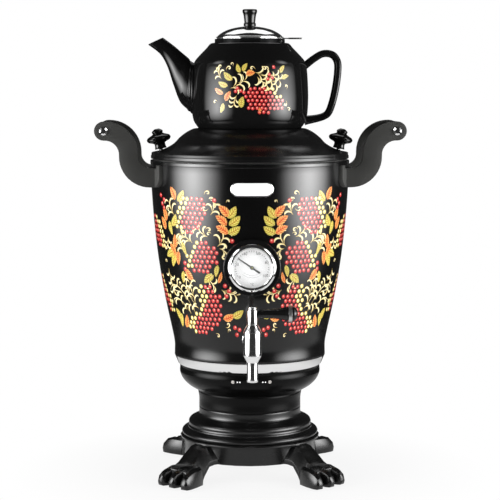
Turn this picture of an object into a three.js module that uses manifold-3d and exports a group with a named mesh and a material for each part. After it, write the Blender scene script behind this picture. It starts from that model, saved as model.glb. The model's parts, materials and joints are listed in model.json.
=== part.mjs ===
// Electric samovar of about four litres, with a glazed teapot kept warm on its lid.
// Millimetres, +Z up. The tap and the dial face -Y, and the floor is at z = 0.

import * as THREE from 'three';
import { mergeVertices } from 'three/addons/utils/BufferGeometryUtils.js';
import Module from 'manifold-3d';

const wasm = await Module();
wasm.setup();

// Fits, facets and cutters
const gap = 0.3;
const overrun = 5;
const roundSteps = 28;
const mediumSteps = 20;
const smallSteps = 16;
const tinySteps = 10;
const cornerSteps = 3;
const armSteps = 6;
const hexagonSteps = 6;
const elementSteps = 34;
const elementTurns = 16;
const spoutRows = 8;
const earRows = 17;
const earSides = 8;
const curveSteps = { body: 7, bowl: 6, ring: 3, lid: 7, pot: 11, potLid: 6, tankCorner: 3 };
const weldTolerance = 0.0001;

// Paw base
const padThickness = 2.4;
const padProud = 0.9;
const padRadius = 8.5;
const padPlaceShare = 0.659;
const archHeight = 17;
const baseHeight = 37;
const skirtRadius = 66;
const skirtWall = 4;
const rimRadius = 69.8;
const rimHeight = 3.5;
const rimRound = 1;
const legReach = 116.8;
const legHalfWidth = 16;
const legAzimuthDeg = 48;
const toeSpreadDeg = 7.6;
const toeHalfWidth = 5.8;
const toeCount = 3;
const coverThickness = 1.5;
const coverLift = 0.6;

// Pedestal, bowl and band
const pedestalHeight = 27.7;
const pedestalRadius = 68.4;
const pedestalWall = 3;
const pedestalRingWall = 6;
const neckFlare = 0.9;
const neckRadius = 51;
const bowlHeight = 43.7;
const bowlRadius = 71;
const bowlWall = 2.2;
const bandHeight = 9.3;
const bandWall = 2;

// Body and tank
const bodyHeight = 193.1;
const bodyRadius = 98.5;
const bodyWall = 1.5;
const rimRoll = 0.25;
const bodyFootShare = 0.765;
const ledgeWidth = 3;
const insulation = 5;
const tankWall = 1;
const tankFloorLift = 3;
const tankCorner = 12;
const sealThickness = 1.2;
const sealWidth = 4;

// Samovar lid
const lidInset = 0.3;
const lidFlangeHeight = 6;
const lidHeight = 29.7;
const lidWall = 2;
const seatDepth = 1.3;
const seatEase = 0.9;
const steamHoleRadius = 20;
const lugHalfWidth = 43.5;
const lugDrop = 8;
const lugThickness = 1.2;
const lugCorner = 5;
const lidKnobRadius = 12;
const lidKnobHeight = 19.8;
const lidKnobPlaceShare = 0.897;
const lidKnobTiltDeg = 12;
const knobLift = 0.9;
const knobScrewRadius = 2;
const knobScrewDepth = 9;
const knobScrewHead = 4;
const knobScrewHeadHeight = 2.2;

// Side handles
const armSpacing = 74;
const armThickness = 6;
const armWidth = 18.5;
const armReach = 142.4;
const armEndStraight = 1.2;
const lowerBend = 20.6;
const armRise = 2;
const upperBend = 22.8;
const armHeightOnBody = 177.3;
const bracketThickness = 3;
const bracketHalfWidth = 48.8;
const bracketHeight = 21.6;
const bracketCorner = 10;
const gripRadius = 8.2;
const gripScrewRadius = 2.2;
const gripScrewHead = 4.2;
const gripScrewHeadHeight = 2.4;
const gripScrewLength = 16;
const bracketBoltRadius = 2.5;
const bracketBoltDrop = 4.6;
const boltTipRoom = 1.2;
const bracketBoltHead = 4.5;
const bracketBoltHeadHeight = 2.5;

// Plate, dial thermometer and lamps
const plateHeightOnBody = 169.6;
const plateWidth = 42;
const plateHeight = 13.6;
const plateThickness = 0.8;
const gaugeHeightOnBody = 95.8;
const gaugeProud = 12.955;
const gaugeHousingRadius = 27;
const gaugeBezelRadius = 22.8;
const gaugeWindowRadius = 18.4;
const gaugeBezelDepth = 4;
const gaugeHousingWall = 3;
const gaugeHousingRound = 1;
const gaugeGlassThickness = 1.2;
const gaugeDialThickness = 0.8;
const gaugeAirGap = 2.6;
const needleLength = 16.5;
const needleTail = 8.5;
const needleWidth = 1.3;
const needleThickness = 0.5;
const needleHubRadius = 1.6;
const needleAngleDeg = 145.5;
const gaugeStemRadius = 3;
const gaugeStemLength = 34;
const gaugeScrewRadius = 1.3;
const gaugeScrewLength = 4.5;
const stemSocketDepth = 1.2;
const lampRadius = 1.5;
const lampSpacing = 23;
const lampHeightOnBowl = 35;
const lampDepth = 5;

// Tap
const tapReach = 112;
const tapHeightOnBody = 25.5;
const tapBarrelRadius = 8.7;
const tapBarrelLength = 22.7;
const tapTaperLength = 5.7;
const tapOutletRadius = 5.3;
const tapOutletLength = 19;
const tapOutletWall = 1.2;
const tapPlugRadius = 5;
const tapStemRadius = 3.4;
const tapShankRadius = 6;
const tapWaterway = 2.8;
const tapShankInside = 9;
const tapFlangeRadius = 9;
const tapFlangeThickness = 2.6;
const tapGasketThickness = 3.2;
const tapNutRadius = 9.5;
const tapNutThickness = 5;
const tapBonnetHeight = 6.6;
const tapHeadRadius = 5.3;
const tapHeadHeight = 13.6;
const tapCapRadius = 4.3;
const tapCapHeight = 3;
const leverDropShare = 0.26;
const leverRadius = 4.2;
const leverTangRadius = 2.2;
const leverEndRadius = 7;
const leverLength = 28;
const leverRingWidth = 3.8;
const leverGrooveDepth = 1.2;
const leverRingRadius = 8.4;
const leverTipLength = 5.2;

// Inside the tank and the bowl
const tieRodRadius = 3;
const tieRodFlange = 10;
const tieRodFlangeThickness = 1.5;
const tieRodTail = 3;
const tieNutRadius = 6.5;
const tieNutThickness = 4.5;
const elementRadius = 42;
const elementTube = 3.2;
const elementEase = 0.9;
const elementLift = 11;
const elementLegDrop = 10;
const elementOpeningDeg = 32;
const elementCollar = 5.5;
const elementCollarThickness = 4;
const thermostatRadius = 9;
const thermostatThickness = 6;
const thermostatPlace = 30;

// Rear panel with inlet and rocker
const panelWidth = 58;
const panelHeight = 23;
const panelReach = 73;
const panelDepth = 16;
const panelCorner = 4;
const panelHeightOnBowl = 30.8;
const inletWidth = 24;
const inletHeight = 17;
const inletDepth = 13;
const inletCorner = 3.5;
const inletCentre = 12.5;
const pinWidth = 2;
const pinHeight = 4;
const pinLength = 7.5;
const pinSpacing = 7;
const pinRise = 2;
const rockerWidth = 11;
const rockerHeight = 16;
const rockerCentre = 18;
const rockerDepth = 6;
const rockerTiltDeg = 8;
const rockerBulge = 1.4;
const rockerSwingRoom = 2.1;
const rockerRootShare = 0.9;

// Teapot
const potHeight = 88.6;
const potRadius = 57.9;
const potWall = 3.6;
const potMouthRadius = 31;
const potCollar = 4;
const potFootRing = 5;
const potFootRecess = 2;
const spoutReach = 100.4;
const spoutHalfWidth = 15;
const spoutWall = 2.2;
const earReach = 90.5;
const earThickness = 7.4;
const earWidth = 11;
const infuserRadius = 28.5;
const infuserDepth = 56;
const infuserWall = 0.8;
const infuserRimWidth = 4;
const infuserTabLength = 19;
const infuserTabWidth = 9;
const infuserTabCorner = 3;
const potLidRadius = 33.4;
const potLidHeight = 10.8;
const potLidWall = 1.2;
const potLidLip = 4;
const lipEase = 0.9;
const potKnobRadius = 6.4;
const potKnobHeight = 16.6;

// Outlines as shares of a radius and a height, from the foot up
const bodyShares = [[0.765, 0.06], [0.8, 0.156], [0.855, 0.282], [0.934, 0.532], [0.982, 0.78], [1, 0.982]];
const bowlShares = [[0.73, 0.33], [0.735, 0.39], [0.82, 0.465], [0.925, 0.6], [0.985, 0.78], [0.985, 0.93]];
const lowerRingShares = [[0.985, 0], [1, 0.09], [0.98, 0.18], [0.92, 0.24]];
const upperRingShares = [[0.895, 0.36], [0.9, 0.44], [0.88, 0.54], [0.81, 0.63]];
const lidShares = [[0.985, 0.205], [0.885, 0.285], [0.776, 0.47], [0.698, 0.725], [0.6, 0.945], [0.53, 1]];
const lidKnobShares = [[0.5, 0], [0.45, 0.12], [0.47, 0.28], [0.87, 0.38], [1, 0.5], [0.9, 0.62],
  [0.43, 0.76], [0.46, 0.88], [0.2, 1]];
const potShares = [[0.864, 0], [0.938, 0.067], [0.976, 0.133], [1, 0.3], [0.988, 0.568], [0.962, 0.72],
  [0.915, 0.775], [0.836, 0.834], [0.751, 0.89], [0.672, 0.948]];
const potLidShares = [[0.97, 0.07], [0.87, 0.35], [0.66, 0.69], [0.4, 0.91], [0.17, 1]];
const potKnobShares = [[0.84, 0], [0.84, 0.17], [0.74, 0.2], [0.76, 0.3], [0.86, 0.65], [1, 0.84],
  [1, 0.95], [0.9, 1]];
// Stations of a claw along the leg's reach: shares of the reach, of the base's height at the ridge and
// at the underside, and of its greatest half width
const clawStations = [[0.4885, 0.5, 0, 0.75], [0.7229, 0.5, 0, 1], [0.8934, 0.42, 0, 0.95],
  [0.968, 0.31, 0.02, 0.74], [1, 0.17, 0.09, 0.4]];

// Stations of a leg from the skirt outwards: shares of its way from the skirt, of its half width at the
// inner foot, inner edge, outer edge and outer foot, and of the base's height at both edges and the foot
const legStations = [
  [-0.0337, 0.94, 0.38, -0.88, -1.38, 0.92, 0.92, 0.46], [0.1112, 0.82, 0.32, -0.82, -1.2, 0.92, 0.92, 0.46],
  [0.2199, 0.75, 0.28, -0.78, -1.08, 0.88, 0.9, 0.43], [0.3286, 0.69, 0.25, -0.75, -1, 0.74, 0.8, 0.2],
  [0.4394, 0.66, 0.28, -0.75, -0.96, 0.58, 0.69, 0], [0.5524, 0.72, 0.4, -0.78, -0.98, 0.48, 0.55, 0],
  [0.659, 0.85, 0.5, -0.8, -1, 0.45, 0.48, 0], [0.7655, 0.85, 0.5, -0.8, -0.98, 0.4, 0.43, 0],
];
const spoutOuterShares = [[0.488, 0.151], [0.587, 0.2], [0.685, 0.299], [0.754, 0.499], [0.813, 0.7],
  [0.881, 0.833], [1, 0.938]];
const spoutInnerShares = [[0.488, 0.659], [0.568, 0.734], [0.598, 0.783], [0.632, 0.817], [0.685, 0.867],
  [0.754, 0.933], [0.853, 1.016]];
const spoutWidthShares = [1, 1, 0.87, 0.67, 0.52, 0.45, 0.43];
const earShares = [[0.57, 0.69], [0.608, 0.711], [0.694, 0.78], [0.798, 0.839], [0.902, 0.827],
  [0.958, 0.749], [0.962, 0.628], [0.939, 0.449], [0.9, 0.28], [0.852, 0.17], [0.76, 0.124],
  [0.6, 0.095]];
const leverShares = [[1, 0], [1, 0.25], [1.12, 0.6], [1.5, 0.92], [1.62, 1]];
const leverTipShares = [[1, 0], [0.93, 0.4], [0.6, 0.85], [0, 1]];
const lensShares = [[0, 0.33], [0.6, 0.2], [1, 0]];
const screwHeadShares = [[0, 1], [0.6, 1], [1, 0.33], [1, 0]];
const infuserShares = [[0.86, 0], [0.95, 0.06]];
// Lower corner of the tank: shares of its corner's size, inwards and upwards
const tankCornerShares = [[1.4, 0], [0.45, 0.25], [0, 1]];
// Half of a claw's section: shares of its half width and of its height
const clawSectionShares = [[0.8, 0], [1, 0.45], [0.62, 0.88]];
const legInnerShoulderShare = 0.3;
const legOuterShoulderShare = 0.4;
const legCrownShare = 1.04;
const neckFootShare = 0.7;
const neckStartShare = 0.8;
const neckInsideShare = 0.6;
const ringInsideShare = 0.3;
const bowlNeckShare = 0.2;
const elementBendShare = 3;
const needleTipShare = 0.33;
const needleNeckShare = 0.4;
const needleFlareShare = 1.6;
const capShoulderShare = 0.7;
const capCrownShare = 0.7;
const gripSwellShare = 1.08;
const slotLengthShare = 1.1;
const slotWidthShare = 0.26;
const bezelLipParts = 4;
const quarterTurnDeg = 90;
const halfTurnDeg = 180;

// Heights that follow from the stack
const pawFoot = padProud;
const pedestalFoot = baseHeight + gap;
const bowlFoot = pedestalFoot + pedestalHeight + gap;
const bandFoot = bowlFoot + bowlHeight + gap;
const bodyFoot = bandFoot + bandHeight + gap;
const bodyTop = bodyFoot + bodyHeight;
const sealFoot = bodyTop + gap;
const lidFoot = sealFoot + sealThickness + gap;
const potFoot = lidFoot + lidHeight - seatDepth + gap;
const infuserRimFoot = potFoot + potHeight + gap;
const potLidFoot = infuserRimFoot + infuserWall + gap;
const potKnobFoot = potLidFoot + potLidHeight + gap;
const gaugeHeight = bodyFoot + gaugeHeightOnBody;
const tapHeight = bodyFoot + tapHeightOnBody;
const lampHeight = bowlFoot + lampHeightOnBowl;
const panelCentreHeight = bowlFoot + panelHeightOnBowl;

// Materials
const finish = (color, roughness, metalness) => new THREE.MeshStandardMaterial(
  { color, roughness, metalness });
const blackEnamel = finish(0x0b0b0b, 0.22, 0);
const satinBlack = finish(0x121212, 0.4, 0);
const matteBlack = finish(0x2b2b29, 0.6, 0);
const glossBlack = finish(0x080808, 0.15, 0);
const glazedBlack = finish(0x060606, 0.06, 0);
const chrome = finish(0xd8d8d8, 0.08, 1);
const steel = finish(0xb8b8b6, 0.28, 1);
const brass = finish(0xb5893f, 0.35, 1);
const rubber = finish(0x1c1c1c, 0.85, 0);
const silicone = finish(0xb9b9b4, 0.7, 0);
const dialWhite = finish(0xf4f4f0, 0.5, 0);
const clearGlass = finish(0xf2f6f6, 0.02, 0);
const plateSilver = finish(0xe4e4e2, 0.3, 1);
const lampGlow = finish(0xe8e2d6, 0.25, 0);

// Turns a closed geometry into a solid, with its faces pointing out
function solidOf(geometry) {
  const bare = geometry.clone();
  bare.deleteAttribute('normal');
  bare.deleteAttribute('uv');
  const welded = mergeVertices(bare, weldTolerance);
  const places = welded.attributes.position.array;
  const index = welded.index.array;
  const corners = [];
  for (let at = 0; at < index.length; at += 3) {
    const [a, b, c] = [index[at], index[at + 1], index[at + 2]];
    if (a !== b && b !== c && c !== a) corners.push([a, b, c]);
  }
  const corner = (i) => new THREE.Vector3().fromArray(places, i * 3);
  const signedVolume = corners.reduce(
    (sum, [a, b, c]) => sum + corner(a).dot(corner(b).clone().cross(corner(c))), 0);
  const outward = signedVolume < 0 ? corners.map(([a, b, c]) => [a, c, b]) : corners;
  return new wasm.Manifold(new wasm.Mesh({
    numProp: 3,
    vertProperties: new Float32Array(places),
    triVerts: new Uint32Array(outward.flat()),
  }));
}

// Turns a solid back into a geometry with flat faces
function geometryOf(solid) {
  const mesh = solid.getMesh();
  const geometry = new THREE.BufferGeometry();
  geometry.setAttribute('position', new THREE.BufferAttribute(new Float32Array(mesh.vertProperties), 3));
  geometry.setIndex(new THREE.BufferAttribute(new Uint32Array(mesh.triVerts), 1));
  const faceted = geometry.toNonIndexed();
  faceted.computeVertexNormals();
  return faceted;
}

const vectors = (pairs) => pairs.map(([x, y]) => new THREE.Vector2(x, y));
const sized = (shares, radius, height, foot = 0) => shares.map(([r, h]) => [r * radius, foot + h * height]);
const smoothed = (pairs, steps) => new THREE.SplineCurve(vectors(pairs)).getPoints(steps)
  .map((p) => [p.x, p.y]);

// A solid of revolution about Z from [radius, height] pairs that close on the axis or on themselves
function turned(outline, steps = roundSteps) {
  const closed = outline[0][0] > 0 ? [...outline, outline[0]] : outline;
  return solidOf(new THREE.LatheGeometry(vectors(closed), steps).rotateX(Math.PI / 2));
}

const rod = (radius, foot, top, steps = smallSteps) => turned(
  [[0, foot], [radius, foot], [radius, top], [0, top]], steps);
const tube = (inner, outer, foot, top, steps = smallSteps) => turned(
  [[inner, foot], [outer, foot], [outer, top], [inner, top]], steps);

// Extrusions of a flat outline along each axis
function prism(outline, from, to, curveSegments) {
  const shape = outline instanceof THREE.Shape ? outline : new THREE.Shape(vectors(outline));
  const depth = to - from;
  const geometry = new THREE.ExtrudeGeometry(shape, { depth, bevelEnabled: false, curveSegments });
  return geometry.translate(0, 0, from);
}
const layAlongX = new THREE.Matrix4().makeBasis(
  new THREE.Vector3(0, 1, 0), new THREE.Vector3(0, 0, 1), new THREE.Vector3(1, 0, 0));
const prismZ = (outline, from, to, steps = cornerSteps) => solidOf(prism(outline, from, to, steps));
const prismY = (outline, from, to, steps = cornerSteps) => solidOf(
  prism(outline, -to, -from, steps).rotateX(Math.PI / 2));
const prismX = (outline, from, to, steps = cornerSteps) => solidOf(
  prism(outline, from, to, steps).applyMatrix4(layAlongX));

// A rectangle with round corners, centred on a place
function roundedRectangle(width, height, corner, x = 0, y = 0) {
  const shape = new THREE.Shape();
  const [left, right, low, high] = [x - width / 2, x + width / 2, y - height / 2, y + height / 2];
  shape.moveTo(left + corner, low);
  shape.lineTo(right - corner, low);
  shape.absarc(right - corner, low + corner, corner, -Math.PI / 2, 0);
  shape.lineTo(right, high - corner);
  shape.absarc(right - corner, high - corner, corner, 0, Math.PI / 2);
  shape.lineTo(left + corner, high);
  shape.absarc(left + corner, high - corner, corner, Math.PI / 2, Math.PI);
  shape.lineTo(left, low + corner);
  shape.absarc(left + corner, low + corner, corner, Math.PI, Math.PI + Math.PI / 2);
  return shape;
}

// Joins rings of points, each with as many, into a closed skin with a flat cap at either end
function lofted(rings) {
  const count = rings[0].length;
  const middle = (ring) => ring.reduce((sum, p) => sum.add(p), new THREE.Vector3()).divideScalar(count);
  const places = [...rings.flat(), middle(rings[0]), middle(rings[rings.length - 1])];
  const index = [];
  for (let side = 0; side < count; side += 1) {
    const next = (side + 1) % count;
    for (let row = 0; row + 1 < rings.length; row += 1) {
      const [a, b] = [row * count + side, row * count + next];
      index.push(a, b, b + count, a, b + count, a + count);
    }
    const last = (rings.length - 1) * count;
    index.push(places.length - 2, next, side, places.length - 1, last + side, last + next);
  }
  const geometry = new THREE.BufferGeometry().setFromPoints(places);
  geometry.setIndex(index);
  return solidOf(geometry);
}

const group = new THREE.Group();
group.name = 'samovar';
const degrees = THREE.MathUtils.degToRad;

// Adds one named piece
function piece(name, solid, material) {
  const mesh = new THREE.Mesh(geometryOf(solid), material);
  mesh.name = name;
  group.add(mesh);
  return mesh;
}

// Radius of an outline of [radius, height] pairs at one height
function radiusAt(outline, height) {
  const upper = outline.findIndex(([, h]) => h > height);
  if (upper < 1) return outline[upper === 0 ? 0 : outline.length - 1][0];
  const [[r0, h0], [r1, h1]] = [outline[upper - 1], outline[upper]];
  return r0 + (r1 - r0) * (height - h0) / (h1 - h0);
}

// Outer line of the body, from its foot to the rolled rim
const bodyLine = [
  [bodyRadius * bodyFootShare, bodyFoot],
  ...smoothed(sized(bodyShares, bodyRadius, bodyHeight, bodyFoot), curveSteps.body),
];
const bodyLineTop = bodyLine[bodyLine.length - 1][1];
const rolledRim = [
  [bodyRadius + rimRoll, bodyLineTop + rimRoll],
  [bodyRadius + rimRoll, bodyTop - rimRoll],
  [bodyRadius, bodyTop],
];
const ledgeTop = bodyTop - tankWall - gap;
const thinned = (line) => line.filter((point, i) => i % 2 === 0 || i === line.length - 1);
const shifted = (line, by) => line.map(([r, h]) => [r + by, h]);
const bodyRadiusAt = (height) => radiusAt(bodyLine, height);
const gaugeReach = bodyRadiusAt(gaugeHeight) + gaugeProud;

// The body's outside, grown by a clearance, as a cutter for what lies on it
function bodySolid(clearance) {
  const line = shifted([...bodyLine, ...rolledRim.slice(0, 2)], clearance);
  const rim = bodyRadius + rimRoll + clearance;
  return turned([[0, bodyFoot - overrun], [line[0][0], bodyFoot - overrun], ...line,
    [rim, bodyTop + overrun], [0, bodyTop + overrun]]);
}

// Outer line of the tank, inside the insulation
const tankFloor = bodyFoot + tankFloorLift;
const tankSideFoot = tankFloor + tankCorner;
const tankInset = -(bodyWall + insulation);
const tankSide = thinned(shifted(bodyLine, tankInset).filter(([, h]) => h > tankSideFoot + tankCorner));
const tankCornerRadius = bodyRadiusAt(tankSideFoot) + tankInset;
const tankCornerLine = smoothed(tankCornerShares.map(([inwards, up]) => [
  tankCornerRadius - tankCorner * inwards, tankFloor + tankCorner * up]), curveSteps.tankCorner);
const tankLine = [[0, tankFloor], ...tankCornerLine, ...tankSide];
const tankNeck = tankSide[tankSide.length - 1][0];

function makeTank() {
  const flangeFoot = ledgeTop + gap;
  const flange = bodyRadius - bodyWall - gap;
  const outer = [...tankLine, [tankNeck, flangeFoot], [flange, flangeFoot]];
  const floorPoints = curveSteps.tankCorner;
  const inner = tankLine.map(([r, h], i) => [
    Math.max(0, r - (i ? tankWall : 0)), i < floorPoints ? h + tankWall : h]).reverse();
  const blank = turned([...outer, [flange, bodyTop], [tankNeck - tankWall, bodyTop], ...inner]);
  const stemHole = alongY(rod(gaugeStemRadius + gap, 0, gaugeReach, tinySteps), -gaugeReach, gaugeHeight);
  const tapHole = alongY(rod(tapShankRadius + gap, 0, tapReach), -tapReach, tapHeight);
  const legHoles = elementLegs.map(([x, y]) => rod(
    elementTube + elementEase, tankFloor - overrun, tankFloor + overrun, tinySteps).translate(x, y, 0));
  return wasm.Manifold.difference([blank, stemHole, tapHole, ...legHoles]);
}

// Turns a solid made about Z to lie along Y, from a front place backwards
function alongY(solid, front, height, x = 0) {
  return solid.rotate(-quarterTurnDeg, 0, 0).translate(x, front, height);
}

function makeBodyShell() {
  const inner = bodyRadius - bodyWall;
  const inside = thinned(shifted(bodyLine.slice(0, -1), -bodyWall)).reverse();
  const blank = turned([
    ...bodyLine, ...rolledRim, [inner, bodyTop], [inner, ledgeTop], [inner - ledgeWidth, ledgeTop],
    [inner - ledgeWidth, ledgeTop - bodyWall], [inner, ledgeTop - bodyWall - ledgeWidth], ...inside,
  ]);
  const stemHole = alongY(rod(gaugeStemRadius + gap, 0, gaugeReach, tinySteps), -gaugeReach, gaugeHeight);
  const tapHole = alongY(rod(tapShankRadius + gap, 0, tapReach), -tapReach, tapHeight);
  return wasm.Manifold.difference([blank, stemHole, tapHole, boltHole(-1), boltHole(1)]);
}

// Paw base
// Azimuth of each leg, and whether it is the mirror image of the front left one
const legPlaces = [[halfTurnDeg + legAzimuthDeg, false], [-legAzimuthDeg, true],
  [halfTurnDeg - legAzimuthDeg, true], [legAzimuthDeg, false]];
const legRoot = skirtRadius - skirtWall;
const legPlace = (share) => legRoot + (legReach - legRoot) * share;
const padReach = legPlace(padPlaceShare);
const padPlaces = legPlaces.map(([azimuth]) => [
  padReach * Math.cos(degrees(azimuth)), padReach * Math.sin(degrees(azimuth))]);

function makeLeg() {
  const rings = legStations.map(([out, innerFoot, innerEdge, outerEdge, outerFoot, inner, outer, under]) => {
    const low = under > 0 ? under * baseHeight : pawFoot - overrun;
    const section = [
      [innerFoot, low],
      [innerFoot, low + (inner * baseHeight - low) * legInnerShoulderShare],
      [innerEdge, inner * baseHeight],
      [(innerEdge + outerEdge) / 2, (inner + outer) / 2 * legCrownShare * baseHeight],
      [outerEdge, outer * baseHeight],
      [outerFoot, low + (outer * baseHeight - low) * legOuterShoulderShare],
      [outerFoot, low],
    ];
    return section.map(([side, z]) => new THREE.Vector3(legPlace(out), side * legHalfWidth, z));
  });
  const claw = lofted(clawStations.map(([out, top, foot, wide]) => {
    const [x, high, half] = [legPlace(out), top * baseHeight, wide * toeHalfWidth];
    const low = foot > 0 ? foot * baseHeight : pawFoot - overrun;
    const right = clawSectionShares.map(([across, up]) => [half * across, low + (high - low) * up]);
    const left = [...right].reverse().map(([y, z]) => [-y, z]);
    return [...right, [0, high], ...left].map(([y, z]) => new THREE.Vector3(x, y, z));
  }));
  const toes = [];
  for (let toe = 0; toe < toeCount; toe += 1) {
    toes.push(claw.rotate(0, 0, (toe - (toeCount - 1) / 2) * toeSpreadDeg));
  }
  const cutDepth = overrun * 2;
  const floorCut = wasm.Manifold.cube([legReach * 2, legReach, (pawFoot + cutDepth) * 2], true)
    .translate(0, 0, -cutDepth);
  return wasm.Manifold.union([lofted(rings), ...toes]).subtract(floorCut);
}

function makePawBase() {
  const rimFoot = baseHeight - rimHeight;
  const skirt = turned([
    [0, archHeight], [skirtRadius, archHeight], [skirtRadius, rimFoot], [rimRadius, rimFoot + rimRound],
    [rimRadius, baseHeight - rimRound], [rimRadius - rimRound, baseHeight], [0, baseHeight],
  ]);
  const leg = makeLeg();
  const flipped = leg.mirror([0, 1, 0]);
  const legs = legPlaces.map(([azimuth, flip]) => (flip ? flipped : leg).rotate(0, 0, azimuth));
  const recesses = padPlaces.map(([x, y]) => rod(padRadius + gap, -overrun, padThickness + gap, tinySteps)
    .translate(x, y, 0));
  const inside = skirtRadius - skirtWall;
  const hollow = rod(inside, -overrun, baseHeight - skirtWall, roundSteps);
  const bore = rod(tieRodRadius + gap, 0, baseHeight + overrun, tinySteps);
  return wasm.Manifold.difference([wasm.Manifold.union([skirt, ...legs]), hollow, bore, ...recesses]);
}

piece('paw_base', makePawBase(), satinBlack);
const coverFoot = archHeight + coverLift;
piece('bottom_cover', tube(tieRodRadius + gap, skirtRadius - skirtWall - gap, coverFoot,
  coverFoot + coverThickness, roundSteps), steel);
const pad = rod(padRadius, 0, padThickness, tinySteps);
['front_left', 'front_right', 'back_left', 'back_right'].forEach((name, i) => {
  piece(`foot_pad_${name}`, pad.translate(...padPlaces[i], 0), rubber);
});

// Pedestal: two swelling rings under a short neck
const pedestalTop = pedestalFoot + pedestalHeight;
const ringLine = (shares) => smoothed(
  sized(shares, pedestalRadius, pedestalHeight, pedestalFoot), curveSteps.ring);
const pedestalLine = [
  ...ringLine(lowerRingShares), ...ringLine(upperRingShares),
  [neckRadius + neckFlare, pedestalFoot + pedestalHeight * neckFootShare],
  [neckRadius, pedestalFoot + pedestalHeight * neckStartShare], [neckRadius, pedestalTop],
];
const pedestalInside = [
  [neckRadius - pedestalWall, pedestalTop],
  [neckRadius - pedestalWall, pedestalFoot + pedestalHeight * neckInsideShare],
  [pedestalRadius - pedestalRingWall, pedestalFoot + pedestalHeight * ringInsideShare],
  [pedestalRadius - pedestalRingWall, pedestalFoot],
];
piece('pedestal', turned([...pedestalLine, ...pedestalInside]), satinBlack);

// Bowl with its neck, which holds the electrics
const bowlCurve = smoothed(sized(bowlShares, bowlRadius, bowlHeight, bowlFoot), curveSteps.bowl);
const bowlTop = bowlFoot + bowlHeight;
const bowlLine = [[neckRadius, bowlFoot], [neckRadius, bowlFoot + bowlHeight * bowlNeckShare], ...bowlCurve,
  [bowlRadius - gap * 2, bowlTop]];
const bowlRadiusAt = (height) => radiusAt(bowlLine, height);

function makeBowl() {
  const inside = thinned(shifted(bowlLine, -bowlWall).slice(0, -1)).reverse();
  const ledge = bowlRadius - bowlWall * 2;
  const blank = turned([...bowlLine, [ledge, bowlTop], [ledge, bowlTop - bowlWall], ...inside]);
  const window = prismY(roundedRectangle(panelWidth + gap * 2, panelHeight + gap * 2, panelCorner + gap,
    0, panelCentreHeight), 0, panelReach + overrun);
  const lampHoles = [-1, 1].map((side) => alongY(rod(lampRadius + gap, 0, bowlRadius), -bowlRadius - overrun,
    lampHeight, side * lampSpacing / 2));
  return wasm.Manifold.difference([blank, window, ...lampHoles]);
}
piece('bowl', makeBowl(), satinBlack);

const bandFootRadius = bowlRadius + gap * 2;
const bandTopRadius = bodyRadius * bodyFootShare + gap;
piece('chrome_band', turned([
  [bandFootRadius, bandFoot], [bandTopRadius, bandFoot + bandHeight],
  [bandTopRadius - bandWall, bandFoot + bandHeight], [bandFootRadius - bandWall, bandFoot],
]), chrome);

// Lamps on the front of the bowl
for (const [name, side] of [['left', -1], ['right', 1]]) {
  const front = Math.sqrt(bowlRadiusAt(lampHeight) ** 2 - (lampSpacing / 2) ** 2);
  const lens = turned([...lensShares.map(([r, out]) => [lampRadius * r, -lampRadius * out]),
    [lampRadius, lampDepth], [0, lampDepth]], tinySteps);
  piece(`lamp_${name}`, alongY(lens, -front, lampHeight, side * lampSpacing / 2), lampGlow);
}

// Heating element: an open ring above the tank floor on two legs that pass through it
const elementHeight = tankFloor + elementLift;
const elementHalfOpening = degrees(elementOpeningDeg / 2);
const elementLegs = [-1, 1].map((side) => [
  side * elementRadius * Math.sin(elementHalfOpening), elementRadius * Math.cos(elementHalfOpening)]);

function makeElement() {
  const points = [];
  const [legLeft, legRight] = elementLegs;
  const legFoot = tankFloor - elementLegDrop;
  const bend = elementTube * 2;
  const bendFoot = elementHeight - elementTube * elementBendShare;
  points.push(new THREE.Vector3(legLeft[0], legLeft[1], legFoot));
  points.push(new THREE.Vector3(legLeft[0], legLeft[1], bendFoot));
  const sweep = Math.PI * 2 - elementHalfOpening * 2 - bend / elementRadius * 2;
  for (let step = 0; step <= elementTurns; step += 1) {
    const angle = Math.PI / 2 + elementHalfOpening + bend / elementRadius + sweep * step / elementTurns;
    points.push(new THREE.Vector3(
      elementRadius * Math.cos(angle), elementRadius * Math.sin(angle), elementHeight));
  }
  points.push(new THREE.Vector3(legRight[0], legRight[1], bendFoot));
  points.push(new THREE.Vector3(legRight[0], legRight[1], legFoot));
  const path = new THREE.CatmullRomCurve3(points);
  const section = new THREE.Shape().absarc(0, 0, elementTube, 0, Math.PI * 2);
  const sheath = solidOf(new THREE.ExtrudeGeometry(
    section, { steps: elementSteps, extrudePath: path, curveSegments: cornerSteps }));
  const collars = elementLegs.map(([x, y]) => rod(elementCollar, tankFloor - gap - elementCollarThickness,
    tankFloor - gap, hexagonSteps).translate(x, y, 0));
  return wasm.Manifold.union([sheath, ...collars]);
}

piece('tank', makeTank(), steel);
piece('heating_element', makeElement(), steel);
piece('thermostat', rod(thermostatRadius, tankFloor - gap - thermostatThickness, tankFloor - gap, smallSteps)
  .translate(-thermostatPlace, 0, 0), matteBlack);

// Tie rod under the tank, which draws bowl, pedestal and base together
const rodTop = tankFloor - gap;
const rodFoot = coverFoot - tieNutThickness - tieRodTail;
piece('tie_rod', turned([
  [0, rodFoot], [tieRodRadius, rodFoot],
  [tieRodRadius, rodTop - tieRodFlangeThickness], [tieRodFlange, rodTop - tieRodFlangeThickness],
  [tieRodFlange, rodTop], [0, rodTop],
], tinySteps), steel);
const tieNut = rod(tieNutRadius, coverFoot - gap - tieNutThickness, coverFoot - gap, hexagonSteps)
  .subtract(rod(tieRodRadius + gap, 0, coverFoot, tinySteps));
piece('tie_nut', tieNut, steel);

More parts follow.
